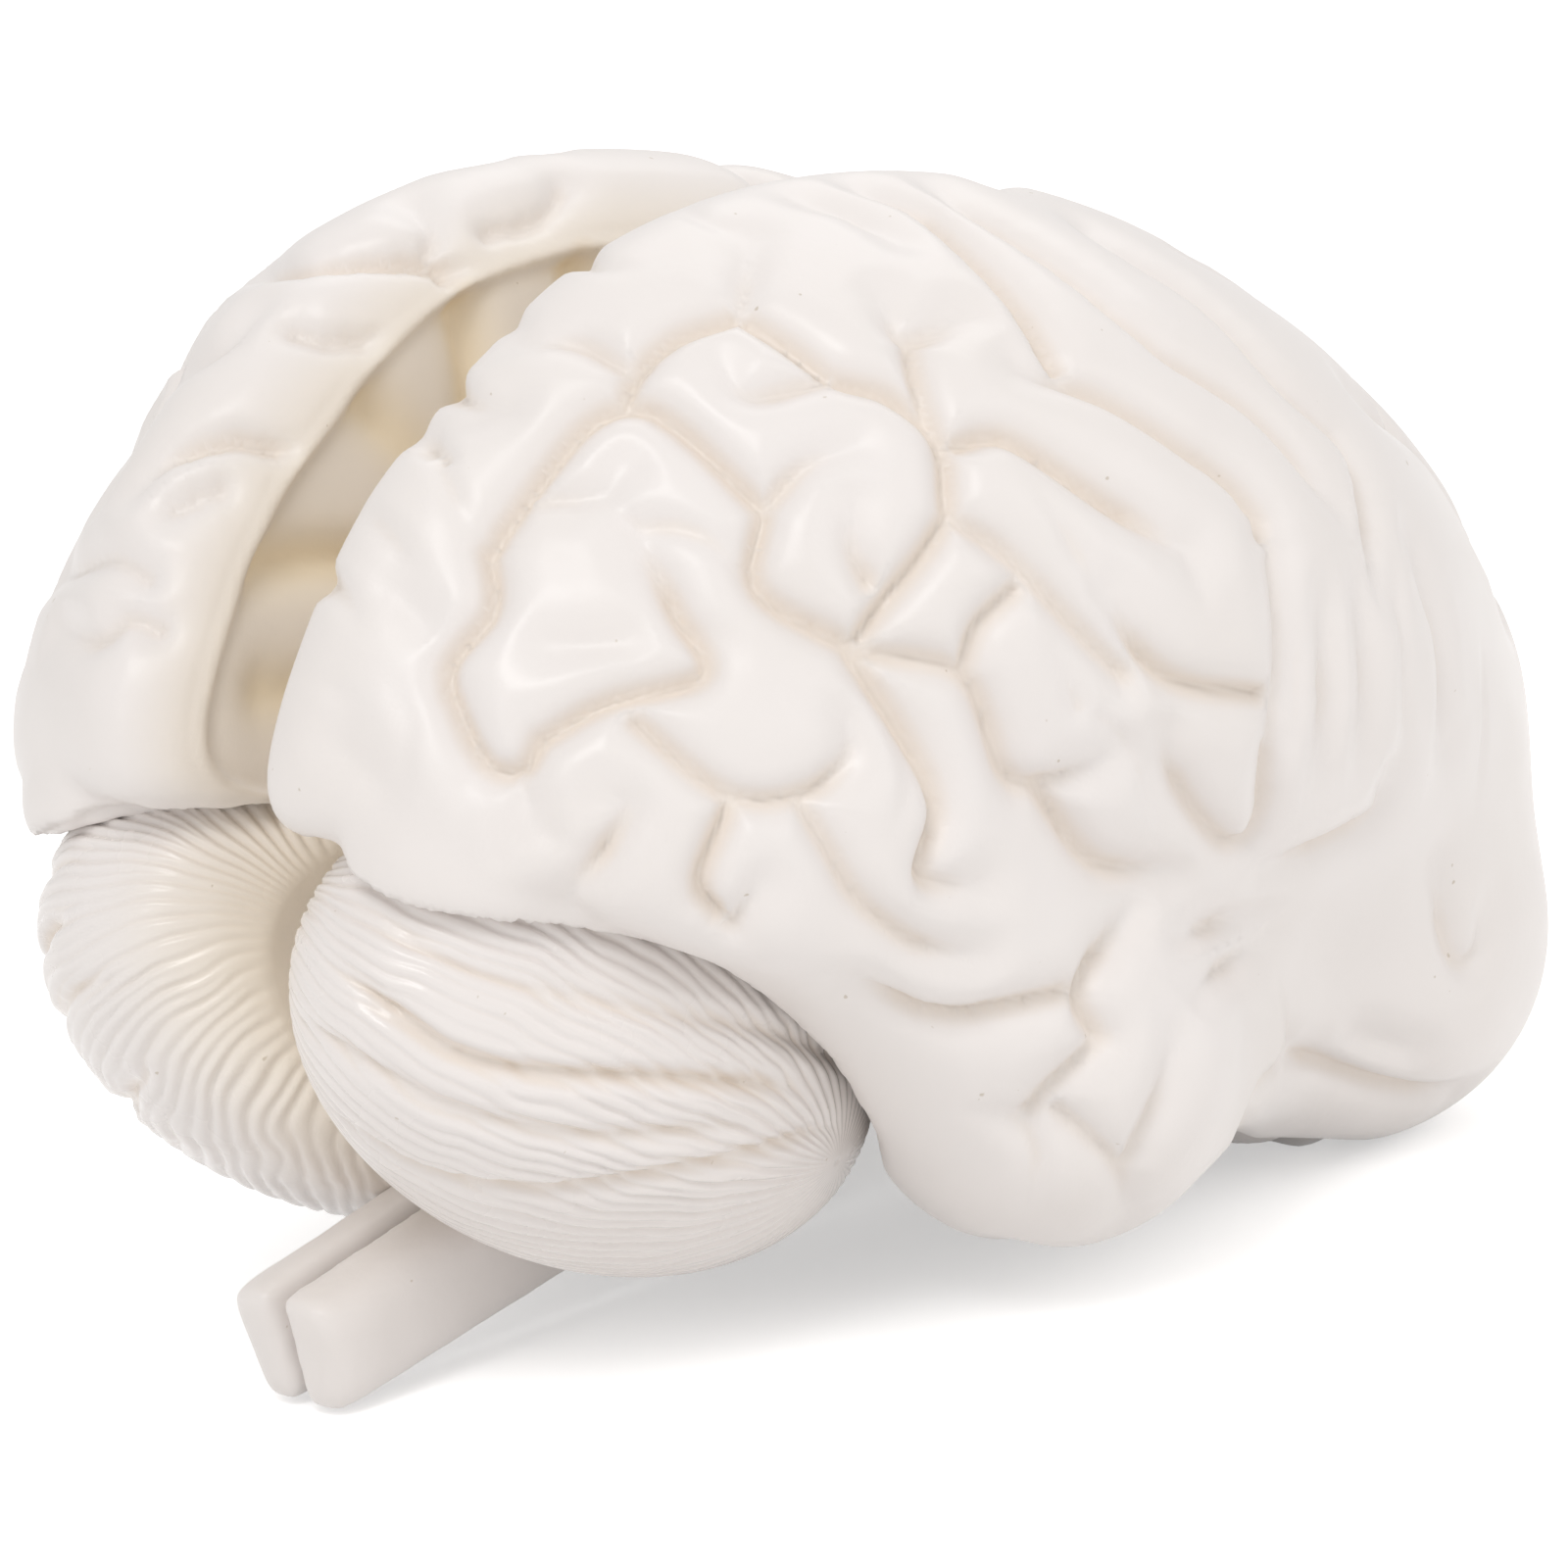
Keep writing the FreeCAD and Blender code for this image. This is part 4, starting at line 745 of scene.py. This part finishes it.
def moulded_skin():
    """Colour, roughness and grain of ivory vinyl, with shade painted into its folds and onto its inner
    wall, for every moulding of the model.
    """
    tree = bpy.data.node_groups.new("moulded_ivory_skin", "ShaderNodeTree")
    for name, kind in (("Position", "NodeSocketVector"), ("Fold", "NodeSocketFloat"),
                       ("Inner", "NodeSocketFloat"), ("Painted Shade", "NodeSocketFloat"),
                       ("Grain Scale", "NodeSocketFloat"), ("Least Roughness", "NodeSocketFloat"),
                       ("Most Roughness", "NodeSocketFloat")):
        tree.interface.new_socket(name, in_out="INPUT", socket_type=kind)
    for name, kind in (("Color", "NodeSocketColor"), ("Roughness", "NodeSocketFloat"),
                       ("Grain", "NodeSocketFloat")):
        tree.interface.new_socket(name, in_out="OUTPUT", socket_type=kind)
    given = tree.nodes.new("NodeGroupInput").outputs
    made = tree.nodes.new("NodeGroupOutput").inputs
    where = given["Position"]
    colour = mixed(tree, ramp(tree, noise(tree, where, 38, 3), 0.3, 0.7, 0, 1), IVORY, IVORY_DEEP)
    patches = ramp(tree, noise(tree, where, 9, 2), 0.52, 0.75, 0, 0.35)
    colour = mixed(tree, patches, colour, IVORY_ROSY)
    # Painted shade: a tan in the folds, strongest at their bottoms.
    colour = mixed(tree, ramp(tree, given["Fold"], 0.2, 0.95, 0, 0.75), colour, FOLD_SHADE_TAN)
    # Painted shade: a warm cream towards the inner wall and into its folds, scaled by the material's
    # shade amount.
    colour = mixed(tree, ramp(tree, given["Inner"], 0.0, 1.0, 0, given["Painted Shade"]), colour, INNER_SHADE_CREAM)
    specks = ramp(tree, noise(tree, where, 620, 1), 0.80, 0.83, 0, 0.5)
    tree.links.new(mixed(tree, specks, colour, SPECK_BROWN), made["Color"])
    sheen = ramp(tree, noise(tree, where, 55, 4, 0.6), 0.3, 0.7, given["Least Roughness"],
                 given["Most Roughness"])
    tree.links.new(sheen, made["Roughness"])
    tree.links.new(noise(tree, where, given["Grain Scale"], 4, 0.6), made["Grain"])
    return tree


ivory_skin = moulded_skin()


def ivory_vinyl(name, grain, shade_amount, gloss=0.30):
    """Satin ivory vinyl: a tan shade painted into the folds and a cream shade painted towards the
    inner wall, faint mottling, uneven sheen and a fine moulded skin."""
    material = bpy.data.materials.new(name)
    material.use_nodes = True
    tree = material.node_tree
    shader = tree.nodes["Principled BSDF"]
    shader.inputs["IOR"].default_value = 1.48
    shader.inputs["Specular IOR Level"].default_value = 0.42
    skin = tree.nodes.new("ShaderNodeGroup")
    skin.node_tree = ivory_skin
    for label, value in (("Painted Shade", shade_amount), ("Grain Scale", grain), ("Least Roughness", gloss),
                         ("Most Roughness", gloss + 0.15)):
        skin.inputs[label].default_value = value
    where = tree.nodes.new("ShaderNodeTexCoord")
    tree.links.new(where.outputs["Object"], skin.inputs["Position"])
    for label, mask in (("Fold", "fold"), ("Inner", "inner")):
        mark = tree.nodes.new("ShaderNodeAttribute")
        mark.attribute_name = mask
        tree.links.new(mark.outputs["Fac"], skin.inputs[label])
    bump = tree.nodes.new("ShaderNodeBump")
    bump.inputs["Strength"].default_value = 0.12
    bump.inputs["Distance"].default_value = 0.0004
    tree.links.new(skin.outputs["Grain"], bump.inputs["Height"])
    tree.links.new(skin.outputs["Color"], shader.inputs["Base Color"])
    tree.links.new(skin.outputs["Roughness"], shader.inputs["Roughness"])
    tree.links.new(bump.outputs["Normal"], shader.inputs["Normal"])
    return material


lobes_vinyl = ivory_vinyl("lobes_ivory_vinyl", 420, 0.9)
for side, word in SIDES:
    hemisphere(side, word).data.materials.append(lobes_vinyl)


# Cerebellum halves: smaller ivory mouldings pegged under the hemispheres, glossier than those.
# Each is an oval cut by the inner wall. Its folia run from the outer front pole to the wall,
# branch as they spread and part along a few deeper fissures, given by pixels of the view.
POLE = np.array((0.80, 0.58, -0.12)) / np.linalg.norm((0.80, 0.58, -0.12))
OVAL_WALL, OVAL_RIM = 0.4, 7.0
FOLIA, FOLIUM, FISSURE, FISSURE_REACH = 42, 0.76, 2.3, 2.2
MEAN_RADIUS = 30.0
ROWS, COLUMNS = 150, 540
FISSURES = (
    (1.0, ((340, 985), (395, 1030), (470, 1080), (560, 1097), (700, 1102), (820, 1112))),
    (0.6, ((305, 1040), (380, 1090), (470, 1135), (600, 1160), (760, 1150))),
    (0.7, ((345, 1140), (430, 1195), (540, 1215), (640, 1205), (760, 1180), (850, 1150))),
    (0.5, ((360, 925), (480, 990), (620, 1025), (780, 1050), (880, 1090))),
)


def oval_point(theta, phi):
    """Points and normals of the oval, theta away from its pole and phi around it."""
    first = np.array((-POLE[1], POLE[0], 0.0))
    first /= np.linalg.norm(first)
    second = np.cross(POLE, first)
    c, s = np.cos(theta)[..., None], np.sin(theta)[..., None]
    d = c * POLE + s * (np.cos(phi)[..., None] * first + np.sin(phi)[..., None] * second)
    n = d / CEREBELLUM_SEMI
    n = n / np.linalg.norm(n, axis=-1)[..., None]
    p = (d * CEREBELLUM_SEMI) @ TILT.T
    near = np.clip((OVAL_RIM - p[..., 0] - CEREBELLUM_MIDDLE[0]) / OVAL_RIM, 0, 1)
    ease = 1 - (1 - np.sqrt(1 - near * near)) * OVAL_RIM / CEREBELLUM_SEMI[2]
    p[..., 1] *= ease
    p[..., 2] *= ease
    return p + CEREBELLUM_MIDDLE, n @ TILT.T


def folia_relief(p, theta, phi, side):
    """Rise of the folia over the oval, and how deep in a fold each corner lies."""
    lines = fading_ends([(s, seen_points(rounded_line(pixels, VIEW_STEP), 1, oval_field))
                         for s, pixels in FISSURES])
    d, s = fold_at(p, *tree_of(lines))
    split = s * np.clip(1 - np.sqrt(d * d + 0.05) / FISSURE_REACH, 0, 1) ** 1.5
    warp = 0.048 * swell(p, 4.5, 1.0 + side) + 0.013 * swell(p, 1.9, 5.0 - side)
    turns = (phi + warp * np.clip(theta * 1.5, 0, 1)) * FOLIA / (2 * math.pi)
    main = np.abs(turns % 1.0 - 0.5) * 2
    fork = np.abs((turns + 0.5) % 1.0 - 0.5) * 2
    width = 2 * math.pi / FOLIA * np.sin(np.clip(theta, 0.02, 3.1)) * MEAN_RADIUS
    spread = np.clip((width - 2.0 + 0.9 * swell(p, 5.0, 9.0)) / 1.6, 0, 1)
    valley = np.exp(-((1 - main) * width / 0.9) ** 2)
    forked = np.exp(-((1 - fork) * width / 0.8) ** 2) * spread
    valley = np.maximum(valley, 0.8 * forked)
    vary = (0.64 + 0.36 * swell(p, 6.0, 2.0)) * (0.82 + 0.18 * swell(p, 1.6, 4.0))
    fade = np.clip(theta * 2.2, 0, 1)
    lift = 0.22 - FOLIUM * valley * vary * fade - FISSURE * split
    return lift, np.clip(valley * 0.3 * fade + 0.8 * split, 0, 1)


def cerebellum(side, word):
    phi = np.arange(COLUMNS) * 2 * math.pi / COLUMNS
    low, high = np.full(COLUMNS, 0.6), np.full(COLUMNS, math.pi)
    for _ in range(26):
        middle = (low + high) / 2
        out = oval_point(middle, phi)[0][:, 0] > OVAL_WALL
        low, high = np.where(out, middle, low), np.where(out, high, middle)
    t = np.linspace(0, 1, ROWS + 1)[1:, None]
    theta, around = low * t, phi + 0 * t
    p, n = oval_point(theta, around)
    p, n = p.reshape(-1, 3), n.reshape(-1, 3)
    lift, fold = folia_relief(p, theta.ravel(), around.ravel(), side)
    edge = np.clip((1 - (t + 0 * phi).ravel()) * low.mean() * MEAN_RADIUS / 2.0, 0, 1)
    co = p + n * (lift * (0.35 + 0.65 * edge))[:, None]
    co[:, 0] = np.maximum(co[:, 0], OVAL_WALL)

    last = (ROWS - 1) * COLUMNS
    co[last:, 0] = OVAL_WALL
    hub = co[last:].mean(axis=0)
    rings = []
    for step in (0.93, 0.8, 0.55, 0.25):
        ring = hub + (co[last:] - hub) * step
        ring[:, 0] = OVAL_WALL + 0.8 * (1 - step) + 0.35 * (1 + swell(ring, 2.6, 4.0)) * (step < 0.9)
        rings.append(ring)
    co = np.vstack([oval_point(np.zeros(1), np.zeros(1))[0], co] + rings + [hub + (0.9, 0, 0)])
    after = [(i + 1) % COLUMNS for i in range(COLUMNS)]
    faces = [(0, 1 + i, 1 + j) for i, j in enumerate(after)]
    for row in range(ROWS - 1 + len(rings)):
        a, b = 1 + row * COLUMNS, 1 + (row + 1) * COLUMNS
        faces += [(a + i, b + i, b + j, a + j) for i, j in enumerate(after)]
    end = 1 + (ROWS + len(rings) - 1) * COLUMNS
    faces += [(end + i, len(co) - 1, end + j) for i, j in enumerate(after)]
    mesh = bpy.data.meshes.new("moulded_cerebellum_" + word)
    mesh.from_pydata(co.tolist(), [], faces)
    # Mask for the tan painted shade in the folia valleys and fissures.
    fold = np.concatenate(([0], fold, np.zeros(len(rings) * COLUMNS + 1)))
    # Mask for the cream painted shade towards the inner wall, in the gap between the halves.
    inner = np.clip(1 - co[:, 0] / 14.0, 0, 1) ** 2
    piece = finished(mesh, co, side, {"fold": fold, "inner": inner})
    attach(piece, "root")
    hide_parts("cerebellum_half_" + word)
    return piece


folia_vinyl = ivory_vinyl("folia_ivory_vinyl", 650, 0.5, 0.17)
for side, word in SIDES:
    cerebellum(side, word).data.materials.append(folia_vinyl)


# Brainstem halves: slim ivory mouldings with flat ends, pegged under the hemispheres. Their
# form is the solid's, with its edges softened as vinyl leaves a mould. The upper edge leans
# towards its neighbour. The axis is given by its foot, in y and z of the half frame, and rise.
STEM_AXIS_FOOT, STEM_AXIS_RISE = (-57.0, -91.2), math.radians(34.3)
STEM_HALF_HEIGHT, STEM_WIDTH, STEM_LEAN = 6.8, 7.4, 0.9
STEM_WALL, STEM_UNEVEN = 0.4, 0.12
STEM_VOXEL = 0.6


def brainstem(side, word):
    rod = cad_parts["brainstem_half_" + word].data
    faces = [tuple(f.vertices) for f in rod.polygons]
    mesh = remeshed("moulded_stem_" + word, corners_of(rod) * 1000, faces, STEM_VOXEL)
    co = relaxed(mesh, corners_of(mesh), 36)
    matrix, shift = half_turn_and_shift(side)
    half = ((co - shift) @ matrix) * (side, 1, 1)
    across = (-math.sin(STEM_AXIS_RISE), math.cos(STEM_AXIS_RISE))
    height = np.clip(((half[:, 1:] - STEM_AXIS_FOOT) @ across / STEM_HALF_HEIGHT + 1) / 2, 0, 1)
    near_wall = np.clip(1 - (half[:, 0] - STEM_WALL) / STEM_WIDTH, 0, 1)
    half[:, 0] -= STEM_LEAN * height * near_wall * (half[:, 1] < -20)
    co = stand(half, side) * 1000
    mesh.vertices.foreach_set("co", co.ravel())
    mesh.update()
    co += normals_of(mesh) * (STEM_UNEVEN * swell(co, 3.0, 2.0 * side))[:, None]
    mesh.vertices.foreach_set("co", (co / 1000).ravel())
    piece = marked_and_shown(mesh, {"fold": np.zeros(len(co)), "inner": np.zeros(len(co))})
    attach(piece, "root")
    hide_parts("brainstem_half_" + word)
    return piece


stem_vinyl = ivory_vinyl("stem_ivory_vinyl", 500, 0.35)
for side, word in SIDES:
    brainstem(side, word).data.materials.append(stem_vinyl)

# Locating pegs: the plain solids, in their own ivory vinyl with a finer grain. They join the
# cerebellum halves and the brainstem halves to their hemispheres.
peg_vinyl = ivory_vinyl("peg_ivory_vinyl", 700, 0.5)
for name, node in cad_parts.items():
    if "_peg_" in name:
        node.data.materials.clear()
        node.data.materials.append(peg_vinyl)


# Floor: plain and pale. It keeps the model's soft shadow and melts into a white backdrop
# by a faint glow that only the camera and reflections see.
def seen_directly(tree):
    """1 for rays from the camera, also by way of a reflection or through a clear body."""
    path = tree.nodes.new("ShaderNodeLightPath")
    total = path.outputs["Is Camera Ray"]
    for kind in ("Is Glossy Ray", "Is Transmission Ray"):
        either = tree.nodes.new("ShaderNodeMath")
        either.operation = "MAXIMUM"
        tree.links.new(total, either.inputs[0])
        tree.links.new(path.outputs[kind], either.inputs[1])
        total = either.outputs["Value"]
    return total


FLOOR_WIDTH, FLOOR_GLOW = 12.0, 0.45
bpy.ops.mesh.primitive_plane_add(size=FLOOR_WIDTH, location=(0, 0, 0))
floor = bpy.context.object
floor.name = "floor"
pale = bpy.data.materials.new("pale_floor")
pale.use_nodes = True
shader = pale.node_tree.nodes["Principled BSDF"]
shader.inputs["Base Color"].default_value = (0.94, 0.94, 0.94, 1)
shader.inputs["Roughness"].default_value = 0.9
shader.inputs["Specular IOR Level"].default_value = 0.1
shader.inputs["Emission Color"].default_value = (1, 1, 1, 1)
glow = pale.node_tree.nodes.new("ShaderNodeMath")
glow.operation = "MULTIPLY"
glow.inputs[1].default_value = FLOOR_GLOW
pale.node_tree.links.new(seen_directly(pale.node_tree), glow.inputs[0])
pale.node_tree.links.new(glow.outputs["Value"], shader.inputs["Emission Strength"])
floor.data.materials.append(pale)

# Light: an even white room, a soft key lamp and a small one into the gap from behind, and
# two broad weaker ones at the side and in front. Sizes and distances are in metres.
world = bpy.context.scene.world or bpy.data.worlds.new("world")
bpy.context.scene.world = world
world.use_nodes = True
tree = world.node_tree
ambient = tree.nodes["Background"]
ambient.inputs["Color"].default_value = (1.0, 0.99, 0.98, 1)
ambient.inputs["Strength"].default_value = 0.64
white = tree.nodes.new("ShaderNodeBackground")
white.inputs["Strength"].default_value = 1.0
mix = tree.nodes.new("ShaderNodeMixShader")
tree.links.new(seen_directly(tree), mix.inputs["Fac"])
tree.links.new(ambient.outputs["Background"], mix.inputs[1])
tree.links.new(white.outputs["Background"], mix.inputs[2])
tree.links.new(mix.outputs["Shader"], tree.nodes["World Output"].inputs["Surface"])
LIT_POINT = Vector((0, 0, 0.05))


def lamp(name, azimuth, elevation, far, wide, watts):
    """A square lamp that looks at the model from far away."""
    way = Vector(way_out(azimuth, elevation))
    light = bpy.data.lights.new(name, "AREA")
    light.size = wide
    light.energy = watts
    holder = bpy.data.objects.new(name, light)
    holder.location = LIT_POINT + way * far
    holder.rotation_mode = "QUATERNION"
    holder.rotation_quaternion = (-way).to_track_quat("-Z", "Y")
    bpy.context.scene.collection.objects.link(holder)


lamp("key", azimuth=32, elevation=50, far=1.2, wide=0.45, watts=3.6)
lamp("fill", azimuth=110, elevation=25, far=1.3, wide=0.9, watts=2.2)
lamp("rear", azimuth=-150, elevation=50, far=1.3, wide=0.9, watts=2.6)
lamp("gap", azimuth=12, elevation=30, far=1.4, wide=0.4, watts=0.8)

bpy.context.scene.view_settings.view_transform = "Standard"
